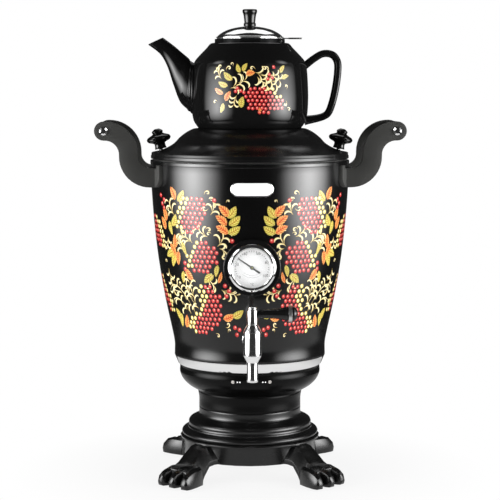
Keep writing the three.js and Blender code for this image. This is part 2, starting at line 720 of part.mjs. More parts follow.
// Rear panel with the appliance inlet and the rocker switch
function makePanel() {
  const block = prismY(roundedRectangle(panelWidth, panelHeight, panelCorner, 0, panelCentreHeight),
    panelReach - panelDepth, panelReach);
  const inletShape = roundedRectangle(inletWidth, inletHeight, inletCorner, -inletCentre, panelCentreHeight);
  const inlet = prismY(inletShape, panelReach - inletDepth, panelReach + overrun);
  const sway = rockerDepth * Math.sin(degrees(rockerTiltDeg));
  const rockerHole = wasm.Manifold.cube([rockerWidth + gap * 2, (rockerDepth + rockerSwingRoom) * 2,
    rockerHeight + (sway + gap) * 2], true).translate(rockerCentre, panelReach, panelCentreHeight);
  return wasm.Manifold.difference([block, inlet, rockerHole]);
}
piece('rear_panel', makePanel(), matteBlack);
const inletFloor = panelReach - inletDepth + gap;
for (const [name, side, rise] of [['left', -1, -1], ['middle', 0, 1], ['right', 1, -1]]) {
  const [x, z] = [-inletCentre + side * pinSpacing, panelCentreHeight + rise * pinRise];
  const pin = wasm.Manifold.cube([pinWidth, pinLength, pinHeight], true)
    .translate(x, inletFloor + pinLength / 2, z);
  piece(`inlet_pin_${name}`, pin, brass);
}

function makeRocker() {
  const half = rockerHeight / 2;
  const root = half * rockerRootShare;
  const cap = prismX([[0, -root], [rockerDepth, -half], [rockerDepth - rockerBulge, 0], [rockerDepth, half],
    [0, root], [-rockerBulge, 0]], -rockerWidth / 2, rockerWidth / 2);
  return cap.rotate(rockerTiltDeg, 0, 0)
    .translate(rockerCentre, panelReach - rockerDepth, panelCentreHeight);
}
piece('switch_rocker', makeRocker(), glossBlack);

// Oblong plate that follows the curve of the body
const plateCentre = bodyFoot + plateHeightOnBody;
const plateShape = roundedRectangle(plateWidth, plateHeight, plateHeight / 2 - gap / 2, 0, plateCentre);
const plateSkin = bodySolid(gap + plateThickness).subtract(bodySolid(gap));
piece('nameplate', prismY(plateShape, -bodyRadius - overrun, -bodyRadius / 2).intersect(plateSkin),
  plateSilver);

// Dial thermometer
const glassFront = -gaugeReach + gaugeBezelDepth / 2;
const glassBack = glassFront + gaugeGlassThickness;
const dialFront = glassBack + gap + gaugeAirGap;
const dialBack = dialFront + gaugeDialThickness;
const housingFloor = dialBack + gap;
const gaugeScrewPlace = (gaugeHousingRadius + gaugeBezelRadius) / 2 + gap;
const bezelLip = gaugeBezelDepth / bezelLipParts;
const bezelSeat = gaugeBezelRadius - gaugeHousingWall / 2 - gap;

function makeGaugeHousing() {
  const seatRadius = gaugeBezelRadius - gaugeHousingWall / 2;
  const ring = turned([
    [gaugeHousingRadius, gaugeReach], [gaugeHousingRadius, gaugeHousingWall + gap],
    [gaugeHousingRadius - gaugeHousingRound, gaugeHousingWall], [seatRadius, gaugeHousingWall],
    [seatRadius, housingFloor + gaugeReach], [gaugeStemRadius + gap, housingFloor + gaugeReach],
    [gaugeStemRadius + gap, gaugeReach],
  ], mediumSteps);
  const screwHole = rod(gaugeScrewRadius + gap, 0, gaugeHousingWall + gaugeScrewLength, tinySteps)
    .translate(0, gaugeScrewPlace, 0);
  return alongY(ring.subtract(screwHole), -gaugeReach, gaugeHeight).subtract(bodySolid(gap));
}

function makeBezel() {
  const [outer, inner, lip, seat] = [gaugeBezelRadius, gaugeWindowRadius, bezelLip, bezelSeat];
  const ring = turned([
    [inner, lip], [inner + lip, 0], [outer - lip * 2, 0], [outer, lip * 2], [outer, gaugeHousingWall - gap],
    [seat, gaugeHousingWall - gap], [seat, gaugeBezelDepth + gap], [seat - lip, gaugeBezelDepth + gap],
    [seat - lip, gaugeBezelDepth / 2 - gap], [inner, gaugeBezelDepth / 2 - gap],
  ], mediumSteps);
  return alongY(ring, -gaugeReach, gaugeHeight);
}

const glassRadius = bezelSeat - gap - bezelLip;
const dialRadius = bezelSeat;
piece('gauge_housing', makeGaugeHousing(), satinBlack);
piece('gauge_bezel', makeBezel(), chrome);
piece('gauge_glass', alongY(rod(glassRadius, 0, gaugeGlassThickness, mediumSteps),
  glassFront, gaugeHeight), clearGlass);
piece('gauge_dial', alongY(tube(needleHubRadius / 2 + gap, dialRadius, 0, gaugeDialThickness, mediumSteps),
  dialFront, gaugeHeight), dialWhite);

function makeNeedle() {
  const half = needleWidth / 2;
  const [tip, neck, flare] = [half * needleTipShare, needleTail * needleNeckShare, half * needleFlareShare];
  const blade = prismY([[0, -half], [needleLength, -tip], [needleLength, tip], [0, half], [-neck, half],
    [-needleTail, flare], [-needleTail, -flare], [-neck, -half]], -needleThickness, 0);
  const hub = alongY(rod(needleHubRadius, 0, needleThickness + gap * 2, tinySteps),
    -needleThickness - gap, 0);
  const pivot = alongY(rod(needleHubRadius / 2, 0, gaugeAirGap + gaugeDialThickness - gap, tinySteps), 0, 0);
  return wasm.Manifold.union([blade, hub, pivot]).rotate(0, -needleAngleDeg, 0)
    .translate(0, (glassBack + dialFront) / 2, gaugeHeight);
}
piece('gauge_needle', makeNeedle(), matteBlack);
const stem = alongY(rod(gaugeStemRadius, 0, gaugeStemLength + gap, tinySteps), housingFloor, gaugeHeight);
const stemSocket = alongY(rod(needleHubRadius / 2 + gap, 0, stemSocketDepth, tinySteps),
  housingFloor - gap, gaugeHeight);
piece('gauge_stem', stem.subtract(stemSocket), steel);
piece('gauge_screw', alongY(rod(gaugeScrewRadius, 0, gaugeScrewLength, tinySteps),
  -gaugeReach + gaugeHousingWall - gap, gaugeHeight - gaugeScrewPlace), chrome);

// Tap: a body with outlet and shank, and a turning plug under a bonnet
const barrelFoot = tapHeight - tapBarrelLength / 2;
const barrelTop = barrelFoot + tapBarrelLength;
const plugFoot = barrelFoot - tapTaperLength / 2 + gap;
const outletTop = barrelFoot - tapTaperLength;
const outletFoot = outletTop - tapOutletLength;
const flangeBack = tapReach - bodyRadiusAt(tapHeight + tapFlangeRadius) - tapGasketThickness / 2;
const headFoot = barrelTop + gap + tapBonnetHeight + gap;
const headTop = headFoot + tapHeadHeight;
const leverHeight = headTop - tapHeadHeight * leverDropShare;
const shankBack = tapReach - (bodyRadiusAt(tapHeight) + tankInset) + tapShankInside;

function makeTapBody() {
  const barrel = turned([
    [0, outletFoot], [tapOutletRadius - gap, outletFoot], [tapOutletRadius, outletFoot + gap * 2],
    [tapOutletRadius, outletTop], [tapBarrelRadius - gap * 2, barrelFoot - gap * 2],
    [tapBarrelRadius, barrelFoot + gap * 2], [tapBarrelRadius, barrelTop - gap],
    [tapBarrelRadius - gap, barrelTop], [0, barrelTop],
  ], smallSteps);
  const shank = turned([
    [0, 0], [tapShankRadius, 0], [tapShankRadius, flangeBack - tapFlangeThickness],
    [tapFlangeRadius, flangeBack - tapFlangeThickness], [tapFlangeRadius, flangeBack],
    [tapShankRadius, flangeBack], [tapShankRadius, shankBack], [0, shankBack],
  ], smallSteps);
  const plugSeat = rod(tapPlugRadius + gap, plugFoot - gap, barrelTop + overrun, smallSteps);
  const outlet = rod(tapOutletRadius - tapOutletWall, outletFoot - overrun, barrelFoot, smallSteps);
  const waterway = alongY(rod(tapWaterway, 0, shankBack + overrun, tinySteps), 0, tapHeight);
  const solid = barrel.add(alongY(shank, 0, tapHeight));
  return wasm.Manifold.difference([solid, plugSeat, outlet, waterway]).translate(0, -tapReach, 0);
}

// The water way leaves through the plug's foot. Its side port meets the shank when the lever points forward.
function makeTapPlug() {
  const plug = turned([
    [0, plugFoot], [tapPlugRadius, plugFoot], [tapPlugRadius, barrelTop], [tapStemRadius, barrelTop],
    [tapStemRadius, headFoot], [tapHeadRadius - gap, headFoot], [tapHeadRadius, headFoot + gap],
    [tapHeadRadius, headTop - gap], [tapHeadRadius - gap, headTop], [0, headTop],
  ], smallSteps);
  const drain = rod(tapWaterway, plugFoot - overrun, tapHeight, tinySteps);
  const port = alongX(rod(tapWaterway, 0, tapBarrelRadius, tinySteps)).mirror([1, 0, 0])
    .translate(0, 0, tapHeight);
  const tangHole = alongX(rod(leverTangRadius + gap, 0, tapBarrelRadius)).translate(0, 0, leverHeight);
  return wasm.Manifold.difference([plug, drain, port, tangHole]).translate(0, -tapReach, 0);
}

// Turns a solid made about Z to lie along +X
function alongX(solid) {
  return solid.rotate(0, quarterTurnDeg, 0);
}

piece('tap_body', makeTapBody(), chrome);
const gasketBlank = alongY(tube(tapShankRadius + gap, tapFlangeRadius - gap, flangeBack + gap,
  flangeBack + gap + tapGasketThickness * 2, smallSteps), -tapReach, tapHeight);
piece('tap_gasket', gasketBlank.subtract(bodySolid(gap)), rubber);
const tankInside = turned([
  [0, tankFloor + tankWall + gap], ...shifted(tankCornerLine, -tankWall - gap).slice(1),
  ...shifted(tankSide, -tankWall - gap), [0, tankSide[tankSide.length - 1][1]],
]);
const nutBlank = alongY(rod(tapNutRadius, 0, tapNutThickness + overrun / 2, hexagonSteps),
  -bodyRadiusAt(tapHeight) - tankInset - overrun / 2, tapHeight);
piece('tap_nut', nutBlank.intersect(tankInside)
  .subtract(alongY(rod(tapShankRadius + gap, 0, tapReach), -tapReach, tapHeight)), brass);
const [bonnetFoot, bonnetTop] = [barrelTop + gap, barrelTop + gap + tapBonnetHeight];
piece('tap_bonnet', turned([
  [tapStemRadius + gap, bonnetFoot], [tapBarrelRadius, bonnetFoot], [tapHeadRadius, bonnetTop],
  [tapStemRadius + gap, bonnetTop],
], smallSteps).translate(0, -tapReach, 0), chrome);
piece('tap_plug', makeTapPlug(), chrome);
piece('tap_cap', turned([
  [0, headTop + gap], [tapCapRadius - gap, headTop + gap], [tapCapRadius, headTop + gap * 2],
  [tapCapRadius, headTop + tapCapHeight * capShoulderShare],
  [tapCapRadius * capCrownShare, headTop + tapCapHeight], [0, headTop + tapCapHeight],
], smallSteps).translate(0, -tapReach, 0), chrome);

const leverFoot = tapHeadRadius + gap;
const ringFoot = leverFoot + leverLength;
const ringTop = ringFoot + leverRingWidth;
const ringBore = leverEndRadius - leverGrooveDepth + gap;

function makeLever() {
  const grip = sized(leverShares, leverRadius, leverLength, leverFoot);
  const tip = sized(leverTipShares, leverEndRadius, leverTipLength, ringTop);
  const profile = [[0, gap], [leverTangRadius, gap], [leverTangRadius, leverFoot], ...grip,
    [ringBore - gap, ringFoot], [ringBore - gap, ringTop], ...tip];
  return alongX(turned(profile, smallSteps)).translate(0, -tapReach, leverHeight);
}
piece('tap_lever', makeLever(), matteBlack);
piece('lever_ring', alongX(tube(ringBore, leverRingRadius, ringFoot + gap, ringTop - gap, smallSteps))
  .translate(0, -tapReach, leverHeight), chrome);

// Side handles: a curved bracket with two S-shaped arms and a grip bar between them
const armCentreOnBody = bodyFoot + armHeightOnBody;
const upperCentreX = armReach - armEndStraight;
const lowerCentreZ = armCentreOnBody + lowerBend;
const armMiddleX = upperCentreX - upperBend;
const lowerCentreX = armMiddleX - lowerBend;
const upperCentreZ = lowerCentreZ + armRise;
const gripHeight = upperCentreZ + upperBend;

function armShape() {
  const half = armWidth / 2;
  const shape = new THREE.Shape();
  shape.moveTo(0, armCentreOnBody - half);
  shape.lineTo(lowerCentreX, armCentreOnBody - half);
  shape.absarc(lowerCentreX, lowerCentreZ, lowerBend + half, -Math.PI / 2, 0);
  shape.lineTo(armMiddleX + half, upperCentreZ);
  shape.absarc(upperCentreX, upperCentreZ, upperBend - half, Math.PI, Math.PI / 2, true);
  shape.absarc(armReach, gripHeight, half, -Math.PI / 2, Math.PI / 2);
  shape.absarc(upperCentreX, upperCentreZ, upperBend + half, Math.PI / 2, Math.PI);
  shape.lineTo(armMiddleX - half, lowerCentreZ);
  shape.absarc(lowerCentreX, lowerCentreZ, lowerBend - half, 0, -Math.PI / 2, true);
  shape.lineTo(0, armCentreOnBody + half);
  return shape;
}

function bracketOutline() {
  const low = armCentreOnBody - armWidth / 2;
  const notch = lidFoot - lugDrop - gap * 2;
  const [half, corner] = [bracketHalfWidth, bracketCorner];
  const shape = new THREE.Shape();
  shape.moveTo(-half + corner, low);
  shape.lineTo(half - corner, low);
  shape.absarc(half - corner, low + corner, corner, -Math.PI / 2, 0);
  shape.lineTo(half, low + bracketHeight);
  shape.lineTo(lugHalfWidth + gap * 2, low + bracketHeight);
  shape.lineTo(lugHalfWidth + gap * 2, notch);
  shape.lineTo(-lugHalfWidth - gap * 2, notch);
  shape.lineTo(-lugHalfWidth - gap * 2, low + bracketHeight);
  shape.lineTo(-half, low + bracketHeight);
  shape.lineTo(-half, low + corner);
  shape.absarc(-half + corner, low + corner, corner, Math.PI, Math.PI + Math.PI / 2);
  return shape;
}

const bracketRadius = bodyRadius + gap + bracketThickness;
const bracketBoltHeight = armCentreOnBody - bracketBoltDrop;

// Bolt of a bracket, lying along X, and the hole for it
const boltTip = bodyRadius + tankInset + boltTipRoom;
const boltLaid = (solid, side) => solid.rotate(0, side * quarterTurnDeg, 0)
  .translate(0, 0, bracketBoltHeight);
const boltHole = (side) => boltLaid(
  rod(bracketBoltRadius + gap, boltTip - overrun, armReach, tinySteps), side);

function makeBracketBolt(side) {
  const seat = bracketRadius + gap;
  return boltLaid(turned([
    [0, boltTip], [bracketBoltRadius, boltTip], [bracketBoltRadius, seat], [bracketBoltHead, seat],
    [bracketBoltHead, seat + bracketBoltHeadHeight / 2], [bracketBoltHead / 2, seat + bracketBoltHeadHeight],
    [0, seat + bracketBoltHeadHeight],
  ], tinySteps), side);
}

function makeHandle(side) {
  const ring = rod(bracketRadius, armCentreOnBody - armWidth, bodyTop, roundSteps);
  const bracket = prismX(bracketOutline(), 0, armReach).intersect(ring);
  const inner = armSpacing / 2 - armThickness / 2;
  const outer = armSpacing / 2 + armThickness / 2;
  const arms = [prismY(armShape(), -outer, -inner, armSteps), prismY(armShape(), inner, outer, armSteps)];
  const bore = rod(gripScrewRadius + gap, 0, armThickness + overrun * 2, tinySteps);
  const holes = [-1, 1].map((end) => alongY(
    bore, end * armSpacing / 2 - armThickness / 2 - overrun, gripHeight, armReach));
  const solid = wasm.Manifold.union([bracket, ...arms]).subtract(bodySolid(gap));
  const bored = wasm.Manifold.difference([solid, ...holes, boltHole(1)]);
  return side > 0 ? bored : bored.mirror([1, 0, 0]);
}

function makeGrip() {
  const half = armSpacing / 2 - armThickness / 2 - gap;
  const swell = gripRadius * gripSwellShare;
  const bar = turned([[0, -half], [gripRadius, -half], [swell, -half / 2], [swell, half / 2],
    [gripRadius, half], [0, half]], smallSteps);
  const floor = half + armThickness + gap * 2 - gripScrewLength;
  const bores = [[floor, half + overrun], [-half - overrun, -floor]].map(([from, to]) => rod(
    gripScrewRadius + gap, from, to, tinySteps));
  return alongY(wasm.Manifold.difference([bar, ...bores]), 0, gripHeight, armReach);
}

function makeGripScrew(end) {
  const face = armSpacing / 2 + armThickness / 2 + gap;
  const head = gripScrewHeadHeight;
  const tip = face - gripScrewLength + gap * 2;
  const screw = turned([
    ...sized(screwHeadShares, gripScrewHead, head, face), [gripScrewRadius, face],
    [gripScrewRadius, tip], [0, tip],
  ], tinySteps);
  const [slotLength, slotWidth] = [gripScrewHead * slotLengthShare, gripScrewHead * slotWidthShare];
  const slots = [0, quarterTurnDeg].map((turn) => wasm.Manifold.cube([slotLength, slotWidth, head], true)
    .translate(0, 0, face + head).rotate(0, 0, turn));
  const cut = wasm.Manifold.difference([screw, ...slots]);
  return alongY(end > 0 ? cut : cut.mirror([0, 0, 1]), 0, gripHeight, armReach);
}

piece('body_shell', makeBodyShell(), blackEnamel);

for (const [name, side] of [['left', -1], ['right', 1]]) {
  const placed = (solid) => (side > 0 ? solid : solid.mirror([1, 0, 0]));
  piece(`handle_${name}`, makeHandle(side), matteBlack);
  piece(`grip_${name}`, placed(makeGrip()), glossBlack);
  piece(`grip_screw_${name}_front`, placed(makeGripScrew(-1)), chrome);
  piece(`grip_screw_${name}_back`, placed(makeGripScrew(1)), chrome);
  piece(`handle_bolt_${name}`, makeBracketBolt(side), steel);
}

// Samovar lid: an ogee dome with a seat for the teapot, a stepped flange and two lugs
piece('lid_seal', tube(tankNeck + gap, tankNeck + sealWidth, sealFoot, sealFoot + sealThickness, roundSteps),
  silicone);

const lidTop = lidFoot + lidHeight;
const potLine = smoothed(sized(potShares, potRadius, potHeight, potFoot), curveSteps.pot);
const potMouth = potFoot + potHeight;
const seatHeight = lidTop - seatDepth;
const lidRadius = bodyRadius - lidInset;
const lidDome = smoothed(sized(lidShares, lidRadius, lidHeight, lidFoot), curveSteps.lid);
const lidDomeInside = lidDome.slice(2).map(([r, h]) => [r - lidWall, h - lidWall]);
const knobPlace = lidRadius * lidKnobPlaceShare;
const knobScrewSeat = -lidWall - gap * 2;
const lidSurfaceAt = (radius) => {
  const line = lidDome.map(([r, h]) => [h, -r]);
  return radiusAt(line, -radius);
};

function makeLid() {
  const step = lidFlangeHeight / 2;
  const potSeat = radiusAt(potLine, lidTop) + seatEase;
  const blank = turned([
    [lidRadius - gap, lidFoot], [lidRadius, lidFoot + gap], [lidRadius, lidFoot + step],
    [lidRadius - gap * 2, lidFoot + step + gap], [lidRadius - gap * 2, lidFoot + lidFlangeHeight - gap],
    ...lidDome, [potSeat, lidTop], [potSeat, seatHeight], [steamHoleRadius, seatHeight],
    [steamHoleRadius, seatHeight - lidWall], ...thinned(lidDomeInside).reverse(),
    [tankNeck - tankWall - gap * 2, lidFoot + gap], [tankNeck - tankWall - gap * 2, lidFoot],
  ]);
  const lugInner = bodyRadius + rimRoll + gap;
  const lugOuter = lugInner + lugThickness;
  const lugRing = turned([
    [lugInner, lidFoot - lugDrop], [lugOuter - gap, lidFoot - lugDrop], [lugOuter, lidFoot - lugDrop + gap],
    [lugOuter, lidFoot + gap], [lidRadius - gap, lidFoot + step], [lidRadius - lugThickness, lidFoot + step],
    [lidRadius - lugThickness, lidFoot + gap], [lugInner, lidFoot],
  ]);
  const low = lidFoot - lugDrop;
  const lugShape = roundedRectangle(lugHalfWidth * 2, lugDrop * 2 + lidFlangeHeight, lugCorner,
    0, low + lugDrop + lidFlangeHeight / 2);
  const lugs = [[0, lidRadius * 2], [-lidRadius * 2, 0]].map(
    ([from, to]) => prismX(lugShape, from, to).intersect(lugRing));
  const seat = knobScrewSeat + gap;
  const screwHole = rod(knobScrewRadius + gap, seat - overrun, overrun, tinySteps)
    .add(rod(knobScrewHead + gap, seat - lidHeight / 2, seat, tinySteps));
  const screwHoles = [-1, 1].map((side) => knobPlaced(screwHole, side));
  return wasm.Manifold.union([blank, ...lugs]).subtract(wasm.Manifold.union(screwHoles));
}

// Places a solid made about Z on the lid's flange at one side, tilted outwards
function knobPlaced(solid, side) {
  return solid.rotate(0, side * lidKnobTiltDeg, 0)
    .translate(side * knobPlace, 0, lidSurfaceAt(knobPlace) + gap);
}

function makeLidKnob() {
  const bore = rod(knobScrewRadius + gap, -overrun, knobScrewDepth + gap, tinySteps);
  return turned([[0, knobLift], ...sized(lidKnobShares, lidKnobRadius, lidKnobHeight, knobLift),
    [0, lidKnobHeight + knobLift]], smallSteps).subtract(bore);
}

function makeKnobScrew() {
  const [under, headFoot] = [knobScrewSeat, knobScrewSeat - knobScrewHeadHeight];
  return turned([[0, headFoot], [knobScrewHead, headFoot], [knobScrewHead, under], [knobScrewRadius, under],
    [knobScrewRadius, knobScrewDepth], [0, knobScrewDepth]], tinySteps);
}

piece('lid', makeLid(), satinBlack);
for (const [name, side] of [['left', -1], ['right', 1]]) {
  piece(`lid_knob_${name}`, knobPlaced(makeLidKnob(), side), glossBlack);
  piece(`lid_knob_screw_${name}`, knobPlaced(makeKnobScrew(), side), steel);
}

// Rings of the spout's outside, or of its bore where an inset is given
function spoutRings(inset) {
  const place = ([x, h]) => [-x * spoutReach, potFoot + h * potHeight];
  const outer = new THREE.SplineCurve(vectors(spoutOuterShares.map(place)));
  const inner = new THREE.SplineCurve(vectors(spoutInnerShares.map(place)));
  const widths = new THREE.SplineCurve(vectors(
    spoutWidthShares.map((share, i) => [i, share * spoutHalfWidth])));
  const rings = [];
  for (let row = 0; row <= spoutRows; row += 1) {
    const at = row / spoutRows;
    const [low, high, width] = [outer.getPoint(at), inner.getPoint(at), widths.getPoint(at).y - inset];
    const centre = low.clone().add(high).divideScalar(2);
    const arm = high.clone().sub(centre);
    arm.setLength(arm.length() - inset);
    const ring = [];
    for (let step = 0; step < tinySteps; step += 1) {
      const angle = Math.PI * 2 * step / tinySteps;
      ring.push(new THREE.Vector3(centre.x + arm.x * Math.cos(angle), width * Math.sin(angle),
        centre.y + arm.y * Math.cos(angle)));
    }
    rings.push(ring);
  }
  return rings;
}

// Lengthens a run of rings past its last one, so that a cutter breaks through
function overshot(rings) {
  const [before, last] = rings.slice(-2);
  const step = last[0].clone().sub(before[0]);
  return [...rings, last.map((p) => p.clone().add(step.clone().setLength(overrun)))];
}

function makeEar() {
  const place = ([x, h]) => new THREE.Vector3(x * earReach, 0, potFoot + h * potHeight);
  const path = new THREE.CatmullRomCurve3(earShares.map(place));
  const rings = [];
  for (let row = 0; row <= earRows; row += 1) {
    const centre = path.getPoint(row / earRows);
    const along = path.getTangent(row / earRows);
    const across = new THREE.Vector3(along.z, 0, -along.x).setLength(earThickness / 2);
    const ring = [];
    for (let step = 0; step < earSides; step += 1) {
      const angle = Math.PI * 2 * step / earSides;
      ring.push(centre.clone().addScaledVector(across, Math.cos(angle))
        .add(new THREE.Vector3(0, earWidth / 2 * Math.sin(angle), 0)));
    }
    rings.push(ring);
  }
  return lofted(rings);
}

function makeTeapot() {
  const floor = potFoot + potFootRecess + potWall;
  const inside = shifted(potLine, -potWall).filter(
    ([r, h]) => h > floor + potWall && r > potMouthRadius + gap);
  const cavity = turned([
    [0, floor], [inside[0][0] - potWall, floor], ...inside, [potMouthRadius, potMouth - potWall],
    [potMouthRadius, potMouth + overrun], [0, potMouth + overrun],
  ], mediumSteps);
  const [foot] = potLine[0];
  const blank = turned([
    [0, potFoot + potFootRecess], [foot - potFootRing - potFootRecess, potFoot + potFootRecess],
    [foot - potFootRing, potFoot], ...potLine, [potMouthRadius + potWall, potMouth - potCollar + gap],
    [potMouthRadius + potWall, potMouth], [0, potMouth],
  ], mediumSteps);
  const solid = wasm.Manifold.union([blank, lofted(spoutRings(0)), makeEar()]);
  return wasm.Manifold.difference([solid, cavity, lofted(overshot(spoutRings(spoutWall)))]);
}
piece('teapot', makeTeapot(), glazedBlack);

// Infuser basket with a tab that shows beside the teapot's lid
function makeInfuser() {
  const rim = infuserRadius + infuserRimWidth;
  const foot = infuserRimFoot - infuserDepth;
  const rimTop = infuserRimFoot + infuserWall;
  const cupLine = (radius, lift) => infuserShares.map(
    ([r, h]) => [radius * r, foot + infuserDepth * h + lift]);
  const cup = turned([
    [0, foot], ...cupLine(infuserRadius, 0), [infuserRadius, infuserRimFoot], [rim, infuserRimFoot],
    [rim, rimTop], [infuserRadius - infuserWall, rimTop],
    ...cupLine(infuserRadius - infuserWall, infuserWall).reverse(), [0, foot + infuserWall],
  ], mediumSteps);
  const tab = prismZ(roundedRectangle(infuserTabLength + infuserRimWidth, infuserTabWidth, infuserTabCorner,
    rim + infuserTabLength / 2 - infuserRimWidth / 2, 0), infuserRimFoot, rimTop);
  return cup.add(tab);
}
piece('infuser', makeInfuser(), steel);

// Steel lid of the teapot, with a lip that drops into the infuser
function makePotLid() {
  const dome = smoothed(sized(potLidShares, potLidRadius, potLidHeight, potLidFoot), curveSteps.potLid);
  const under = dome.slice(0, -1).map(([r, h]) => [r - potLidWall, h - potLidWall]).reverse();
  const lipOuter = infuserRadius - infuserWall - lipEase;
  const [, apex] = dome[dome.length - 1];
  const ceiling = under.filter(([r, h]) => r < lipOuter - potLidWall * 2 && h > potLidFoot + potLidWall);
  return turned([
    [lipOuter, potLidFoot], [potLidRadius, potLidFoot], [potLidRadius, potLidFoot + potLidWall / 2],
    ...dome, [0, apex], [0, apex - potLidWall], ...ceiling,
    [lipOuter - potLidWall, potLidFoot + potLidWall], [lipOuter - potLidWall, potLidFoot - potLidLip],
    [lipOuter, potLidFoot - potLidLip],
  ], mediumSteps);
}
piece('pot_lid', makePotLid(), steel);
const potKnobLine = sized(potKnobShares, potKnobRadius, potKnobHeight, potKnobFoot);
piece('pot_lid_knob', turned([[0, potKnobFoot], ...potKnobLine, [0, potKnobFoot + potKnobHeight]],
  smallSteps), glossBlack);

// The tap reaches further than the back of the body, so the whole is moved to stand centred on its footprint
const extent = new THREE.Box3().setFromObject(group);
for (const mesh of group.children) mesh.position.y = -(extent.min.y + extent.max.y) / 2;

export default group;
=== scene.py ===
import json
import math

import bmesh
import bpy
from mathutils import Matrix, Vector


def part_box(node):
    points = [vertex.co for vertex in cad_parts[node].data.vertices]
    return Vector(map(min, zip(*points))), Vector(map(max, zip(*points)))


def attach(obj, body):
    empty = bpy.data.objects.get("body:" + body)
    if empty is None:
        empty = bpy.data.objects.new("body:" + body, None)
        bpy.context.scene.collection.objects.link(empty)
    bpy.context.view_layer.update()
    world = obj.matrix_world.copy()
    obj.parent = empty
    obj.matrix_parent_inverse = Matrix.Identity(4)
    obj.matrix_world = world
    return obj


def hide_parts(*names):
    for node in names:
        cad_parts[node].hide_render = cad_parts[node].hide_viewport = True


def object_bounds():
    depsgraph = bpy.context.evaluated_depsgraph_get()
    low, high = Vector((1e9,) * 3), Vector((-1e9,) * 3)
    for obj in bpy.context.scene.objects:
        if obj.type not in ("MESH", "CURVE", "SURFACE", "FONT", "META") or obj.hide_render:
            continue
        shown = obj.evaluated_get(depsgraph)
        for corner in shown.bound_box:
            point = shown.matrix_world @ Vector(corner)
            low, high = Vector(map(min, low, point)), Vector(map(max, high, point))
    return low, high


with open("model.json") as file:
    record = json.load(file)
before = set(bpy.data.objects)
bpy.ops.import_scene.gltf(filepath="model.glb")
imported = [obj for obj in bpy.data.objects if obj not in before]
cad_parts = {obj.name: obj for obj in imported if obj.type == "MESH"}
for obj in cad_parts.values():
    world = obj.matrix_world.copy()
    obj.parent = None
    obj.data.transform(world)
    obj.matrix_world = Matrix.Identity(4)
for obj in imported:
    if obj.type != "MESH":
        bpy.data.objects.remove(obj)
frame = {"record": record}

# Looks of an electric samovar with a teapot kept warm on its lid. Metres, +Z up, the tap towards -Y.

cad_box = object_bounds()

MM = 0.001
WELD = 0.000005
UP = Vector((0, 0, 1))
RIGHT = Vector((1, 0, 0))
BACK = Vector((0, 1, 0))
FRONT = Vector((0, -1, 0))
ROUND_STEPS = 112
SMALL_STEPS = 48
CURVE_CUTS = 4
CORNER = 28
EASE = 0.00035


def corners(node):
    """Lowest and highest corner of a CAD node."""
    low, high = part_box(node)
    return Vector(low), Vector(high)


def middle(node):
    """The middle of a CAD node's box."""
    low, high = corners(node)
    return (low + high) / 2


def placed(name, data):
    """A new object in the scene."""
    thing = bpy.data.objects.new(name, data)
    bpy.context.scene.collection.objects.link(thing)
    return thing


def as_mesh(name, shape):
    """A mesh made of a bmesh, which is let go."""
    mesh = bpy.data.meshes.new(name)
    shape.to_mesh(mesh)
    shape.free()
    return mesh


AXIS = Vector((middle("lid").x, middle("lid").y, 0))

# Camera, as far off and as high as the photograph's

SENSOR = 36.0
VIEW_DISTANCE = 1.65
VIEW_WIDTH = 0.5
VIEW_PITCH = math.radians(5.75)
VIEW_TURN = math.radians(-1.25)
VIEW_HEIGHT = 0.2218
VIEW_SHIFT = 0.0004


def place_camera():
    """A camera that sees the object as the photograph does."""
    camera = placed("camera", bpy.data.cameras.new("camera"))
    camera.data.sensor_width = SENSOR
    camera.data.lens = SENSOR * VIEW_DISTANCE / VIEW_WIDTH
    camera.data.shift_x = VIEW_SHIFT
    camera.data.dof.use_dof = False
    aim = AXIS + UP * VIEW_HEIGHT
    level = math.cos(VIEW_PITCH)
    outwards = Vector((math.sin(VIEW_TURN) * level, -math.cos(VIEW_TURN) * level, math.sin(VIEW_PITCH)))
    camera.location = aim + outwards * VIEW_DISTANCE
    camera.rotation_euler = outwards.to_track_quat("Z", "Y").to_euler()
    bpy.context.scene.camera = camera


place_camera()
bpy.context.scene.view_settings.view_transform = "Standard"


# Materials


class Signal:
    """A shader value that can be used in sums."""

    def __init__(self, paint, socket):
        self.paint = paint
        self.socket = socket

    def __add__(self, other):
        return self.paint.maths("ADD", self, other)

    def __sub__(self, other):
        return self.paint.maths("SUBTRACT", self, other)

    def __rsub__(self, other):
        return self.paint.maths("SUBTRACT", other, self)

    def __mul__(self, other):
        return self.paint.maths("MULTIPLY", self, other)

    def __pow__(self, other):
        return self.paint.maths("POWER", self, other)


class Nodes:
    """A node tree to which nodes are added one by one."""

    def __init__(self, tree):
        self.tree = tree

    def set(self, node, values):
        for key, value in values.items():
            socket = node.inputs[key]
            if isinstance(value, Signal):
                self.tree.links.new(value.socket, socket)
            elif socket.type == "RGBA" and len(value) == 3:
                socket.default_value = (*value, 1)
            else:
                socket.default_value = value

    def node(self, kind, values=None, output=0, **settings):
        made = self.tree.nodes.new(kind)
        for key, value in settings.items():
            setattr(made, key, value)
        self.set(made, values or {})
        return Signal(self, made.outputs[output])

    def maths(self, operation, first, second=0.0):
        return self.node("ShaderNodeMath", {0: first, 1: second}, operation=operation)

    def between(self, value, low, high):
        """From 0 at low to 1 at high, and flat beyond."""
        return self.node("ShaderNodeMapRange", {"Value": value, "From Min": low, "From Max": high})

    def parts(self, vector):
        split = self.node("ShaderNodeSeparateXYZ", {0: vector}).socket.node
        return [Signal(self, socket) for socket in split.outputs]


